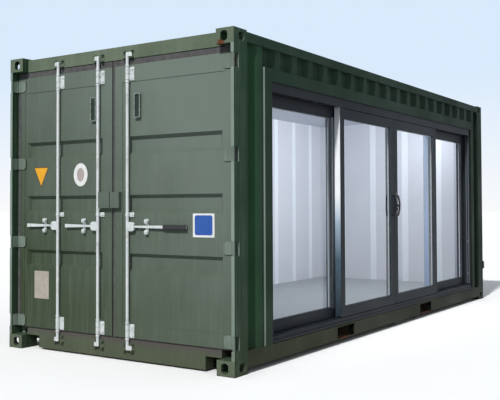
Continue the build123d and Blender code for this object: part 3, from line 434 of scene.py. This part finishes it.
def fit(name, mesh, material, body, soften=0.0):
    """Makes the piece, softens its sharp edges and hangs it on its body."""
    bmesh.ops.recalc_face_normals(mesh, faces=mesh.faces)
    if soften:
        sharp = [edge for edge in mesh.edges if edge.calc_face_angle(0.0) > math.radians(40)]
        bmesh.ops.bevel(mesh, geom=sharp, offset=soften, segments=1, affect="EDGES")
    data = bpy.data.meshes.new(name)
    mesh.to_mesh(data)
    mesh.free()
    data.materials.append(material)
    made = bpy.data.objects.new(name, data)
    scene.collection.objects.link(made)
    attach(made, body)
    return made


# Each bearing is a plate with a strap or two bent round the rod, and each catch a waisted plate with two round
# bosses that hold the handle. A bearing is given as its level, its height, its number of straps and its bolt rows.
door_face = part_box("right_door_frame")[0].x
rod_doors = {"right": "right_door", "left_inner": "left_door", "left_outer": "left_door"}
rod_boxes = {rod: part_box(rod + "_lock_rod") for rod in rod_doors}
rod_middles = {rod: (low.y + high.y) / 2 for rod, (low, high) in rod_boxes.items()}
rod_low, rod_high = rod_boxes["right"]
rod_x = (rod_low.x + rod_high.x) / 2
rod_radius = (rod_high.x - rod_low.x) / 2
plate_front = door_face - 0.005
plate_bolt_side, plate_other_side, plate_corner = 0.060, 0.030, 0.006
bearings = ((0.248, 0.112, 2, (-0.036, 0.036)), (1.191, 0.038, 1, (0.0,)), (2.343, 0.112, 2, (-0.036, 0.036)))
bolt_offset = 0.042
strap_inside, strap_outside, strap_gap = rod_radius + 0.0007, rod_radius + 0.0035, 0.008
catch_level = 1.095
catch_places = {"right": -0.337, "left_inner": 0.356, "left_outer": 0.828}
catch_half_width, catch_half_height = 0.015, 0.063
boss_radius, boss_offset, boss_front = 0.019, 0.044, door_face - 0.023
bolt_places = {"right_door": [], "left_door": []}
for door in bolt_places:
    mesh = bmesh.new()
    for rod in [rod for rod in rod_doors if rod_doors[rod] == door]:
        rod_y = rod_middles[rod]
        for level, tall, strap_count, bolt_rows in bearings:
            plate_low = (rod_y - plate_bolt_side, level - tall / 2)
            plate_high = (rod_y + plate_other_side, level + tall / 2)
            slab(mesh, rounded(plate_low, plate_high, plate_corner), 0, plate_front, door_face)
            strap_tall = (tall - strap_gap * (strap_count + 1)) / strap_count
            for count in range(strap_count):
                strap_foot = level - tall / 2 + strap_gap + count * (strap_tall + strap_gap)
                strap = arc((rod_x, rod_y), strap_outside, 90, 270, 12)
                strap += [(plate_front, rod_y - strap_outside), (plate_front, rod_y - strap_inside)]
                strap += arc((rod_x, rod_y), strap_inside, 270, 90, 12)
                strap += [(plate_front, rod_y + strap_inside), (plate_front, rod_y + strap_outside)]
                slab(mesh, strap, 2, strap_foot, strap_foot + strap_tall)
            bolt_places[door] += [(plate_front, rod_y - bolt_offset, level + row) for row in bolt_rows]
        catch_y = catch_places[rod]
        waist_low = (catch_y - catch_half_width, catch_level - catch_half_height)
        waist_high = (catch_y + catch_half_width, catch_level + catch_half_height)
        slab(mesh, rounded(waist_low, waist_high, plate_corner), 0, plate_front, door_face)
        for level in (catch_level - boss_offset, catch_level + boss_offset):
            slab(mesh, disc((catch_y, level), boss_radius), 0, boss_front, door_face)
            bolt_places[door].append((boss_front, catch_y, level))
    fittings = fit(door + "_bearings_and_catches", mesh, zinc, door, 0.0008)
    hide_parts(door + "_fittings")

# Collars: steel rings welded to each rod above and below its top and bottom bearings, so that it can turn but not
# slide. They are galvanised with the rod.
collar_gap, collar_tall, collar_radius = 0.002, 0.014, rod_radius + 0.004
for rod, rod_y in rod_middles.items():
    mesh = bmesh.new()
    for level, tall, strap_count, bolt_rows in (bearings[0], bearings[2]):
        for side in (-1, 1):
            near = level + side * (tall / 2 + collar_gap)
            slab(mesh, disc((rod_x, rod_y), collar_radius), 2, *sorted((near, near + side * collar_tall)))
    fit(rod + "_rod_collars", mesh, zinc, rod + "_rod", 0.0015)


# Bolts: zinc-plated steel, hexagon heads on round washers, driven through each bearing plate and each boss of the
# catches into the door frame.
def repeat_tree(name, sizes):
    """A Geometry Nodes tree that takes places and named sizes, and its input node's sockets."""
    tree = bpy.data.node_groups.new(name, "GeometryNodeTree")
    tree.interface.new_socket("Geometry", in_out="INPUT", socket_type="NodeSocketGeometry")
    for label in sizes:
        tree.interface.new_socket(label, in_out="INPUT", socket_type="NodeSocketFloat")
    tree.interface.new_socket("Facing", in_out="INPUT", socket_type="NodeSocketVector")
    tree.interface.new_socket("Geometry", in_out="OUTPUT", socket_type="NodeSocketGeometry")
    return tree, add(tree, "NodeGroupInput").outputs


def end_repeat(tree, given, shape, material):
    """Sets the shape on every place, as one plain mesh of one material."""
    rows = {"Points": given["Geometry"], "Instance": shape, "Rotation": given["Facing"]}
    plain = add(tree, "GeometryNodeRealizeInstances", {0: add(tree, "GeometryNodeInstanceOnPoints", rows).outputs[0]})
    dressed = add(tree, "GeometryNodeSetMaterial", {"Geometry": plain.outputs[0], "Material": material})
    add(tree, "NodeGroupOutput", {"Geometry": dressed.outputs[0]})


def repeat(name, tree, places, body, finish, facing, **sizes):
    """Runs a tree over its places, keeps the plain mesh and hangs it on its body."""
    data = bpy.data.meshes.new(name + "_places")
    data.from_pydata(places, [], [])
    made = bpy.data.objects.new(name, data)
    scene.collection.objects.link(made)
    modifier = made.modifiers.new("repeat", "NODES")
    modifier.node_group = tree
    for socket in tree.interface.items_tree:
        label = socket.name.replace(" ", "_").lower()
        if socket.in_out == "INPUT" and label in sizes:
            modifier[socket.identifier] = sizes[label]
        if socket.name == "Facing":
            modifier[socket.identifier] = facing
    made.data = bpy.data.meshes.new_from_object(made.evaluated_get(bpy.context.evaluated_depsgraph_get()))
    made.modifiers.remove(modifier)
    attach(made, body)


over_the_doors = (0.0, math.radians(-90), 0.0)
bolt_tree, given = repeat_tree("bolt_on_washer", ("Washer Radius", "Washer Height", "Head Radius", "Head Top"))
bolt = add(bolt_tree, "GeometryNodeJoinGeometry")
for sides, radius, depth in ((16, "Washer Radius", "Washer Height"), (6, "Head Radius", "Head Top")):
    drum = {"Vertices": sides, "Radius Top": given[radius], "Radius Bottom": given[radius], "Depth": given[depth]}
    bolt_tree.links.new(add(bolt_tree, "GeometryNodeMeshCone", drum).outputs["Mesh"], bolt.inputs[0])
end_repeat(bolt_tree, given, bolt.outputs[0], zinc)
for door, places in bolt_places.items():
    repeat(
        door + "_bolts",
        bolt_tree,
        places,
        door,
        "galvanised_steel",
        over_the_doors,
        washer_radius=0.0115,
        washer_height=0.0016,
        head_radius=0.0085,
        head_top=0.007,
    )

# Keeper plates: the four lugs of each keeper stand on one steel plate, welded to the header or the sill and painted
# with it.
keeper_levels = ((0.080, 0.146), (2.471, 2.536))
keeper_half_width, keeper_corner, keeper_thickness = 0.056, 0.008, 0.003
mesh = bmesh.new()
for rod_y in rod_middles.values():
    for foot, top in keeper_levels:
        outline = rounded((rod_y - keeper_half_width, foot), (rod_y + keeper_half_width, top), keeper_corner)
        slab(mesh, outline, 0, door_face - keeper_thickness, door_face)
fit("keeper_plates", mesh, end_frame_paint, "container", 0.0008)

# Rod ends: a forged collar over each cam, welded on and domed in three steps where the rod is cut. Each step is given
# as its distance from the end and its radius.
end_steps = ((0.0, 0.0095), (0.006, 0.0130), (0.034, 0.0148))
end_length = 0.040
for rod, rod_y in rod_middles.items():
    mesh = bmesh.new()
    for end, inward in ((rod_boxes[rod][0].z, 1), (rod_boxes[rod][1].z, -1)):
        for start, radius in end_steps:
            span = sorted((end + inward * start, end + inward * end_length))
            slab(mesh, disc((rod_x, rod_y), radius), 2, *span)
    fit(rod + "_rod_ends", mesh, zinc, rod + "_rod")

# ---------------------------------------------------------------- hinge lugs and pins
# Each hinge turns on a pin between two lugs, cut from plate and welded to the door post. The pin's head shows above
# and below them.
hinge_levels = (0.245, 0.945, 1.645, 2.345)
lug_radius, lug_length, lug_thickness = 0.0125, 0.036, 0.0055
lug_offset = 0.0503
pin_radius, pin_head = 0.0085, 0.0085
hinge_low, hinge_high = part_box("left_door_hinges")
pin_x, pin_y = hinge_low.x + lug_radius, hinge_high.y - lug_radius
mesh = bmesh.new()
for side in (-1, 1):
    for level in hinge_levels:
        for end in (-1, 1):
            lug = arc((pin_x, side * pin_y), lug_radius, 90, 270, 10)
            lug += arc((pin_x + lug_length, side * pin_y), lug_radius, 270, 450, 10)
            foot = level + end * lug_offset
            slab(mesh, lug, 2, *sorted((foot, foot + end * lug_thickness)))
            slab(mesh, disc((pin_x, side * pin_y), pin_radius), 2, *sorted((foot, foot + end * pin_head)))
fit("hinge_lugs", mesh, post_paint, "container", 0.0006)

# ---------------------------------------------------------------- edge bars of the side opening
# Thin flat steel welded to the outer sides of the tubes. At the door end the bar runs the full height, and its face
# towards the doors takes the pale bleached tone of the post paint, which is partly a painted highlight where the lamp
# falls; at the far end it only caps the open end of the top tube.
bar_thickness, near_bar_depth, far_bar_depth = 0.003, 0.025, 0.009
header_low, header_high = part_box("opening_header")
jamb_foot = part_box("opening_jambs")[0].z
bars = (
    (header_low.x - bar_thickness, header_low.x, near_bar_depth, jamb_foot),
    (header_high.x, header_high.x + bar_thickness, far_bar_depth, header_low.z),
)
mesh = bmesh.new()
for start, end, depth, foot in bars:
    face, behind = header_low.y, header_low.y + depth
    slab(mesh, [(start, face), (end, face), (end, behind), (start, behind)], 2, foot, header_high.z)
fit("opening_edge_bars", mesh, post_paint, "container", 0.0006)

# ---------------------------------------------------------------- door edge seal
# A rubber fin lies over the outer edge of the left leaf, held down by a thin steel strip that is screwed to the leaf
# and painted with it. Both are given across the leaf from its edge, with their thickness.
seal_margin = 0.004
fin_start, fin_end, fin_thickness = -0.030, 0.004, 0.0015
strip_start, strip_end, strip_thickness = -0.034, -0.028, 0.0025
leaf_low, leaf_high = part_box("left_door_frame")
foot, top = leaf_low.z + seal_margin, leaf_high.z - seal_margin
mesh = bmesh.new()
fin = rounded((leaf_high.y + fin_start, foot), (leaf_high.y + fin_end, top), 0.002, 1)
slab(mesh, fin, 0, door_face - fin_thickness, door_face)
fit("left_edge_seal", mesh, door_rubber, "left_door", 0.0004)
mesh = bmesh.new()
strip = rounded((leaf_high.y + strip_start, foot), (leaf_high.y + strip_end, top), 0.001, 1)
slab(mesh, strip, 0, door_face - strip_thickness, door_face)
fit("left_seal_strip", mesh, door_paint, "left_door", 0.0004)

# ---------------------------------------------------------------- vents
# Small louvred vent boxes, pressed and painted with the doors: bent slats in a rim of folded sheet, its paint rubbed
# pale along the edges, over a woven mesh against insects, its open cells painted near-black as painted shade of the
# hollow box behind. Each is pushed into its box on the door.
vent_mesh, tree, place = new_material("dark_vent_mesh")
# The real mesh is about 1 mm; its cells are drawn at 3 mm so that they show.
weave = add(tree, "ShaderNodeTexVoronoi", {"Vector": place, "Scale": 1 / 0.003}, feature="DISTANCE_TO_EDGE")
surface(tree, coat(tree, "#3A403C", "#101412", (weave.outputs["Distance"], 0.0, 0.2)), 0.8)
rubbed_paint, tree, place = new_material("rubbed_vent_paint")
rubbed = grain(tree, place, 0.01, 4.0)
surface(tree, coat(tree, "#5C6B60", "#A9B4AA", (rubbed, 0.35, 0.6)), 0.6, [(rubbed, 0.0002)])
slat_paint = container_paint("shaded_slat_paint", "#3C4F45", "#5C6B60", "#2C3A32", "#45452F", 0.3, 0.0)

slat_tree, given = repeat_tree("vent_slat", ("Slat Length", "Slat Depth", "Slat Thickness"))
slat_size = {"X": given["Slat Depth"], "Y": given["Slat Length"], "Z": given["Slat Thickness"]}
slat_size = add(slat_tree, "ShaderNodeCombineXYZ", slat_size).outputs[0]
slat = add(slat_tree, "GeometryNodeMeshCube", {"Size": slat_size}).outputs["Mesh"]
end_repeat(slat_tree, given, slat, slat_paint)
vent_middles = {"right_door": -0.242, "left_door": 0.243}
vent_half_width, vent_foot, vent_top = 0.030, 1.978, 2.178
vent_proud = 0.019
rim_width, rim_depth, mesh_depth = 0.006, 0.006, 0.0008
slat_count, slat_setback, slat_lean = 12, 0.0028, math.radians(-38)
for door, middle in vent_middles.items():
    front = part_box(door + "_boxes")[0].x + vent_proud
    start, end = middle - vent_half_width, middle + vent_half_width
    inside_low = (start + rim_width, vent_foot + rim_width)
    inside_high = (end - rim_width, vent_top - rim_width)
    mesh = bmesh.new()
    slab(mesh, rounded(inside_low, inside_high, 0.002, 1), 0, front - mesh_depth, front)
    fit(door + "_vent_mesh", mesh, vent_mesh, door)
    mesh = bmesh.new()
    for edge_low, edge_high in (
        ((start, vent_foot), (inside_low[0], vent_top)),
        ((inside_high[0], vent_foot), (end, vent_top)),
        ((inside_low[0], vent_foot), (inside_high[0], inside_low[1])),
        ((inside_low[0], inside_high[1]), (inside_high[0], vent_top)),
    ):
        slab(mesh, rounded(edge_low, edge_high, 0.001, 1), 0, front - rim_depth, front)
    fit(door + "_vent_rim", mesh, rubbed_paint, door, 0.0006)
    pitch = (inside_high[1] - inside_low[1]) / slat_count
    repeat(
        door + "_vent_slats",
        slat_tree,
        [(front - slat_setback, middle, inside_low[1] + (row + 0.5) * pitch) for row in range(slat_count)],
        door,
        "painted_steel",
        (0.0, slat_lean, 0.0),
        slat_length=inside_high[0] - inside_low[0],
        slat_depth=0.009,
        slat_thickness=0.0012,
    )

# ---------------------------------------------------------------- lock box cover
# Folded sheet cover that shields the padlock from above and in front, welded to the left leaf and painted with it.
# It is a front sheet with three edges folded back to the leaf.
cover_front, cover_back, cover_sheet = -2.998, -2.963, 0.0025
cover_start, cover_end = 0.046, 0.166
cover_foot, cover_top = 1.245, 1.379
fold = 0.002
mesh = bmesh.new()
sheet = rounded((cover_start, cover_foot), (cover_end, cover_top), 0.003, 2)
slab(mesh, sheet, 0, cover_front - cover_sheet, cover_front)
for edge_low, edge_high in (
    ((cover_start, cover_top - fold), (cover_end, cover_top)),
    ((cover_start, cover_foot), (cover_end, cover_foot + fold)),
    ((cover_end - cover_sheet, cover_foot + fold / 2), (cover_end, cover_top - fold / 2)),
):
    slab(mesh, rounded(edge_low, edge_high, 0.0008, 1), 0, cover_front, cover_back)
fit("lock_box_cover", mesh, door_paint, "left_door", 0.0005)

# ---------------------------------------------------------------- bare plates
# Blank enamelled and printed plates on the door sheets, each held by its adhesive back: a yellow triangle, a white
# ring with a faded middle, a pale data plate and a blue panel with a white border.
sheet_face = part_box("left_door_panel")[0].x


def plate_finish(name, colour, faded, roughness=0.35):
    """Enamel or film with a soft, slightly uneven fading."""
    material, tree, place = new_material(name)
    uneven = grain(tree, place, 0.05, 4.0)
    surface(
        tree,
        coat(tree, colour, faded, (uneven, 0.3, 0.7)),
        (uneven, 0.3, 0.7, roughness, roughness + 0.2),
        [(grain(tree, place, 0.004), 0.00005)],
    )
    return material


def bare_plate(name, outline, height, material, body):
    """A thin plate on the door sheet, height metres proud of it."""
    mesh = bmesh.new()
    slab(mesh, outline, 0, sheet_face - height, sheet_face)
    fit(name, mesh, material, body, 0.0003)


def oval(centre, wide, tall):
    """Outline of an oval."""
    return [(centre[0] + wide / 2 * y, centre[1] + tall / 2 * z) for y, z in arc((0, 0), 1.0, 0, 355, 71)]


white_film = plate_finish("white_plate_film", "#F1F1EE", "#DEDFDB")
brown_edge = plate_finish("dark_plate_edge", "#4A3A1C", "#5C4A26")
bare_plate("triangle_back", [(0.8895, 1.424), (0.984, 1.610), (0.795, 1.610)], 0.0010, brown_edge, "left_door")
yellow_enamel = plate_finish("yellow_plate_enamel", "#F2AE14", "#E6A21C")
bare_plate("triangle_face", [(0.8895, 1.444), (0.972, 1.602), (0.807, 1.602)], 0.0016, yellow_enamel, "left_door")
ring_centre = (0.408, 1.531)
bare_plate("ring_back", oval(ring_centre, 0.162, 0.198), 0.0010, white_film, "left_door")
faded_middle = plate_finish("faded_ring_middle", "#B9A9A6", "#A59A97")
bare_plate("ring_middle", oval(ring_centre, 0.086, 0.118), 0.0014, faded_middle, "left_door")
data_film = plate_finish("pale_data_plate", "#B5AC9F", "#A69C90", 0.45)
bare_plate("data_plate", rounded((0.792, 0.447), (0.972, 0.690), 0.004), 0.0012, data_film, "left_door")
bare_plate("blue_plate_border", rounded((-0.992, 1.020), (-0.788, 1.203), 0.004), 0.0010, white_film, "right_door")
blue_field = plate_finish("blue_plate_film", "#1F4E9E", "#2A5AA8")
bare_plate("blue_plate_field", rounded((-0.974, 1.036), (-0.806, 1.189), 0.018), 0.0014, blue_field, "right_door")

# ---------------------------------------------------------------- grip of the long handle
# A moulded rubber sleeve, matt black with a fine grain, pushed over the end of the handle, where it holds by its own
# stretch.
material, tree, place = new_material("black_moulded_rubber")
colour = coat(tree, "#1C1C1D", "#2B2B2C", grain(tree, place, 0.02))
surface(tree, colour, 0.7, [(grain(tree, place, 0.002), 0.0002)])
dress(material, "handle_grip")

# ---------------------------------------------------------------- power inlet
# Moulded plastic inlet box with its flap, black and slightly glossy with a fine texture, screwed to the closed end
# wall.
material, tree, place = new_material("black_moulded_plastic")
colour = coat(tree, "#141415", "#202022", grain(tree, place, 0.03))
surface(tree, colour, 0.45, [(grain(tree, place, 0.0015), 0.0001)])
dress(material, "power_inlet")

# ---------------------------------------------------------------- window frame and panels
# Extruded aluminium with an anthracite powder coat, satin, screwed together at the corners. The frame is fixed in the
# steel tubes and the two middle panels run in its sill. The powder's grain is drawn at 2.5 mm so that it shows.
anthracite, tree, place = new_material("anthracite_powder_coat")
soft_clouds = grain(tree, place, 0.6, 3.0)
powder = grain(tree, place, 0.0025, 2.0)
colour = coat(tree, "#1F2327", "#272B30", (soft_clouds, 0.3, 0.7))
surface(tree, colour, (soft_clouds, 0.3, 0.7, 0.5, 0.62), [(powder, 0.00012)], Specular_IOR_Level=0.14)
dress(anthracite, "glazing_head", "glazing_sill", "glazing_jambs", "fixed_panel_frames")
dress(anthracite, "left_panel_frame", "left_panel_pull", "right_panel_frame")

# ---------------------------------------------------------------- side strips and interlock covers
# Strips pressed into the outer side of each sliding panel and over the stile of the fixed panel that it locks into.
# They carry a painted reflection: white high up, blue-grey and then dark nearer the ground. The left interlock cover
# is a rubbed grey instead, with a painted reflection that darkens towards the ground.
strip_with_painted_reflection, tree, place = new_material("faded_protective_film")
height = add(tree, "ShaderNodeSeparateXYZ", {"Vector": place}).outputs["Z"]
creases = grain(tree, place, 0.01, 3.0, stretch=(1.0, 1.0, 0.2))
colour = coat(tree, "#475A67", "#A9BACB", (height, 0.75, 1.15))
colour = coat(tree, colour, "#FAFBFD", (height, 1.1, 1.35))
colour = coat(tree, colour, "#2B363E", (height, 0.7, 0.3))
surface(tree, coat(tree, colour, "#8B94A0", (creases, 0.5, 0.8, 0.0, 0.15)), 0.3, [(creases, 0.0001)])
grey_strip_with_painted_reflection, tree, place = new_material("grey_cover_strip")
height = add(tree, "ShaderNodeSeparateXYZ", {"Vector": place}).outputs["Z"]
rubbed = grain(tree, place, 0.01, 3.0, stretch=(1.0, 1.0, 0.1))
colour = coat(tree, "#3B4148", "#8D9199", (height, 0.5, 1.7))
surface(tree, coat(tree, colour, "#A5A9AF", (rubbed, 0.4, 0.8, 0.0, 0.2)), 0.45, [(rubbed, 0.00005)])


def trim(name, parts, material, body, soften=0.0006):
    """Upright and level strips, each given by two corners."""
    mesh = bmesh.new()
    for low, high in parts:
        slab(mesh, [(low[0], low[1]), (high[0], low[1]), (high[0], high[1]), (low[0], high[1])], 2, low[2], high[2])
    fit(name, mesh, material, body, soften)


strip_thickness, strip_inset, strip_end_gap = 0.0025, 0.003, 0.012
cover_thickness, cover_before, cover_behind = 0.003, 0.032, 0.040
cover_foot_gap, cover_top_gap = 0.08, 0.11
panel_sides = (("left_panel", -1), ("right_panel", 1))
panel_boxes = {panel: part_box(panel + "_frame") for panel, side in panel_sides}
outer_edges = {"left_panel": panel_boxes["left_panel"][0].x, "right_panel": panel_boxes["right_panel"][1].x}
frames_low, frames_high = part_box("fixed_panel_frames")
for panel, side in panel_sides:
    low, high = panel_boxes[panel]
    edge = outer_edges[panel]
    start, end = sorted((edge, edge + side * strip_thickness))
    strip_low = (start, low.y + strip_inset, low.z + strip_end_gap)
    strip_high = (end, high.y - strip_inset, high.z - strip_end_gap)
    trim(panel + "_side_strip", [(strip_low, strip_high)], strip_with_painted_reflection, panel)
    start, end = sorted((edge + side * cover_before, edge - side * cover_behind))
    cover_low = (start, frames_low.y - cover_thickness, frames_low.z + cover_foot_gap)
    cover_high = (end, frames_low.y, frames_high.z - cover_top_gap)
    # The left cover takes the grey finish and the right one the white and blue-grey painted reflection.
    film = grey_strip_with_painted_reflection if side < 0 else strip_with_painted_reflection
    trim(panel + "_interlock_cover", [(cover_low, cover_high)], film, "container")

# ---------------------------------------------------------------- blue film
# Protective film left on the side face of each fixed stile, behind the edge of the sliding panel. It is thin blue
# plastic, creased, paler where more light reaches it.
blue_film, tree, place = new_material("blue_protective_film")
height = add(tree, "ShaderNodeSeparateXYZ", {"Vector": place}).outputs["Z"]
creases = grain(tree, place, 0.01, 3.0, stretch=(1.0, 1.0, 0.2))
colour = coat(tree, "#5F7FB2", "#A9BDD8", (height, 0.3, 1.6))
surface(tree, coat(tree, colour, "#C3D2E4", (creases, 0.5, 0.8, 0.0, 0.2)), 0.35, [(creases, 0.0001)])
stile_setback = 0.053
film_thickness, film_inset, film_foot, film_top = 0.0008, 0.003, 0.250, 2.150
for panel, side in panel_sides:
    face = outer_edges[panel] - side * stile_setback
    start, end = sorted((face, face - side * film_thickness))
    film_low = (start, frames_low.y + film_inset, film_foot)
    film_high = (end, frames_high.y - film_inset, film_top)
    trim(panel + "_blue_film", [(film_low, film_high)], blue_film, "container", 0.0)

# ---------------------------------------------------------------- glazing beads and spacers
# Each pane is a sealed unit held in its frame by snapped-in beads: satin anodised uprights that catch the light, and
# anthracite levels. Between its two glasses runs a spacer bar, white on the uprights and greyed on the levels.
satin_aluminium, tree, place = new_material("satin_anodised_aluminium")
# The lines that drawing leaves are finer than a tenth of a millimetre, and stand 2 mm apart here so that they show.
drawn = grain(tree, place, 0.002, 2.0, stretch=(1.0, 1.0, 0.01))
colour = coat(tree, "#84888E", "#74787E", (drawn, 0.3, 0.7))
surface(tree, colour, (drawn, 0.3, 0.7, 0.16, 0.24), [(drawn, 0.00002)], Metallic=1.0)
white_spacer, tree, place = new_material("white_spacer_bar")
colour = coat(tree, "#B4B8BE", "#A6AAB0", grain(tree, place, 0.02, 2.0))
surface(tree, colour, 0.4, [(grain(tree, place, 0.002), 0.00003)])
stile_width = 0.070
glass_rebate = 0.014
bead_width, bead_depth = 0.0025, 0.0165
spacer_width, broad_spacer_width, spacer_tuck, glass_thickness = 0.009, 0.026, 0.004, 0.006
glass_low, glass_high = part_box("fixed_panel_glass")
left_limit = outer_edges["left_panel"] + stile_setback - stile_width
right_limit = outer_edges["right_panel"] - stile_setback + stile_width
panes = {
    "left_panel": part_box("left_panel_glass"),
    "right_panel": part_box("right_panel_glass"),
    "left_fixed": (glass_low, Vector((left_limit, glass_high.y, glass_high.z))),
    "right_fixed": (Vector((right_limit, glass_low.y, glass_low.z)), glass_high),
}
for name, (low, high) in panes.items():
    body = name if name.endswith("panel") else "container"
    left, right = low.x + glass_rebate, high.x - glass_rebate
    foot, top = low.z + glass_rebate, high.z - glass_rebate
    front, behind = low.y - bead_depth, low.y
    upright_beads = [
        ((left, front, foot), (left + bead_width, behind, top)),
        ((right - bead_width, front, foot), (right, behind, top)),
    ]
    trim(name + "_upright_beads", upright_beads, satin_aluminium, body)
    level_beads = [
        ((left + bead_width, front, foot), (right - bead_width, behind, foot + bead_width)),
        ((left + bead_width, front, top - bead_width), (right - bead_width, behind, top)),
    ]
    trim(name + "_level_beads", level_beads, anthracite, body)
    # The fixed panes have a broad spacer where they run in behind the sliding panels.
    inner, outer = low.y + glass_thickness, high.y - glass_thickness
    left_end = left + (broad_spacer_width if name == "right_fixed" else spacer_width)
    right_end = right - (broad_spacer_width if name == "left_fixed" else spacer_width)
    upright_spacers = [
        ((left - spacer_tuck, inner, foot), (left_end, outer, top)),
        ((right_end, inner, foot), (right + spacer_tuck, outer, top)),
    ]
    trim(name + "_upright_spacers", upright_spacers, white_spacer, body)
    # The level spacers take the grey strip finish, darker towards the ground as a painted reflection.
    level_spacers = [
        ((left_end, inner, foot - spacer_tuck), (right_end, outer, foot + spacer_width)),
        ((left_end, inner, top - spacer_width), (right_end, outer, top + spacer_tuck)),
    ]
    trim(name + "_level_spacers", level_spacers, grey_strip_with_painted_reflection, body)

# ---------------------------------------------------------------- jamb ribs
# Guide fins that stand on the frame's side faces, extruded with it and left dull where its coat is thin, each pair
# with two small blocks screwed on that stop the sliding panel.
dull_aluminium, tree, place = new_material("dull_mill_aluminium")
drawn = grain(tree, place, 0.003, 2.0, stretch=(1.0, 1.0, 0.01))
surface(tree, coat(tree, "#64696E", "#565B60", drawn), 0.4, [(drawn, 0.00002)], Metallic=0.2)
rib_foot, rib_top = 0.24, 2.165
rib_depths = ((-1.197, -1.184), (-1.170, -1.158))
stop_levels, stop_half_height, stop_proud = (0.373, 0.790), 0.012, 0.001
stop_front, stop_back = -1.190, -1.165
for side, start, end in (("left", -2.455, -2.452), ("right", 2.528, 2.531)):
    ribs = [((start, front, rib_foot), (end, behind, rib_top)) for front, behind in rib_depths]
    trim(side + "_jamb_ribs", ribs, dull_aluminium, "container")
    stops = [
        (
            (start - stop_proud, stop_front, level - stop_half_height),
            (end + stop_proud, stop_back, level + stop_half_height),
        )
        for level in stop_levels
    ]
    trim(side + "_jamb_stops", stops, dull_aluminium, "container")

# ---------------------------------------------------------------- lock plate
# Cast zinc lacquered gloss black, screwed to the right meeting stile behind its pull, with an oval cylinder, a round
# boss and a small lever. The pull has the same lacquer. Outlines are (x, z), and each height is how far it stands out.
gloss_black, tree, place = new_material("gloss_black_lock_metal")
worn = grain(tree, place, 0.01, 4.0)
surface(tree, coat(tree, "#0C0D0F", "#17181B", worn), (worn, 0.3, 0.7, 0.2, 0.35), [(worn, 0.00005)])
lock_face = panel_boxes["right_panel"][0].y
plate_outline = rounded((0.060, 1.147), (0.121, 1.396), 0.012)
cylinder_outline = oval((0.104, 1.222), 0.018, 0.034)
boss_outline = disc((0.104, 1.262), 0.011)
lever_outline = [(0.096, 1.258), (0.108, 1.268), (0.139, 1.214), (0.130, 1.207)]
mesh = bmesh.new()
for outline, height, back in (
    (plate_outline, 0.005, 0.0),
    (cylinder_outline, 0.011, 0.0),
    (boss_outline, 0.016, 0.0),
    (lever_outline, 0.020, 0.014),
):
    slab(mesh, outline, 1, lock_face - height, lock_face - back)
fit("lock_plate", mesh, gloss_black, "right_panel", 0.0008)
dress(gloss_black, "right_panel_pull")

# ---------------------------------------------------------------- glass
# Sealed units of two sheets of clear float glass, set on blocks in the rebates of the panels. They are clear seen
# straight, and mirror the surround at a slant.
material, tree, place = new_material("clear_float_glass")
clear = add(tree, "ShaderNodeBsdfTransparent", {"Color": linear("#F7F9FA")})
mirror = add(tree, "ShaderNodeBsdfGlossy", {"Color": linear("#F4F8FA"), "Roughness": 0.01})
slant = add(tree, "ShaderNodeFresnel", {"IOR": 1.45})
behind = add(tree, "ShaderNodeNewGeometry").outputs["Backfacing"]
facing_out = add(tree, "ShaderNodeMath", {0: 1.0, 1: behind}, operation="SUBTRACT").outputs[0]
mirrored = add(tree, "ShaderNodeMath", {0: slant.outputs[0], 1: facing_out}, operation="MULTIPLY").outputs[0]
pane = add(tree, "ShaderNodeMixShader", {0: mirrored, 1: clear.outputs[0], 2: mirror.outputs[0]})
add(tree, "ShaderNodeOutputMaterial", {"Surface": pane.outputs[0]})
dress(material, "fixed_panel_glass", "left_panel_glass", "right_panel_glass")

# ---------------------------------------------------------------- lined room
# Foil-coated lining panels, smooth and satin, in a cool white that is faintly cloudy, screwed to battens on the
# steel walls and the roof.
material, tree, place = new_material("white_coated_lining")
colour = coat(tree, "#CED0D8", "#C5C8D2", (grain(tree, place, 0.7, 3.0), 0.3, 0.7))
surface(tree, colour, 0.55, [(grain(tree, place, 0.01), 0.0001)], Specular_IOR_Level=0.3)
dress(material, "back_lining", "end_lining", "ceiling_lining", "front_lining_sides", "front_lining_header")

# Cover strips: folded from thin sheet with a brighter, glossier white coat, and pressed over the joints between the
# lining panels.
material, tree, place = new_material("white_gloss_strip")
colour = coat(tree, "#E9EDF3", "#DFE4EC", grain(tree, place, 0.3, 2.0))
surface(tree, colour, 0.35, [(grain(tree, place, 0.02), 0.0001)])
dress(material, "joint_strips")

# Floor: plywood boards screwed to the cross-members, under a glued grey sheet covering with fine flecks, dulled and
# scuffed where people walk.
material, tree, place = new_material("grey_sheet_flooring")
flecks = grain(tree, place, 0.006, 4.0, 0.7)
scuffed = grain(tree, place, 0.35, 4.0)
colour = coat(tree, "#7E8287", "#8E9297", (flecks, 0.35, 0.65))
colour = coat(tree, colour, "#9CA0A3", (scuffed, 0.5, 0.8, 0.0, 0.5))
surface(tree, colour, (scuffed, 0.3, 0.7, 0.5, 0.7), [(flecks, 0.0001)])
dress(material, "floor_deck")

low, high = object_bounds()
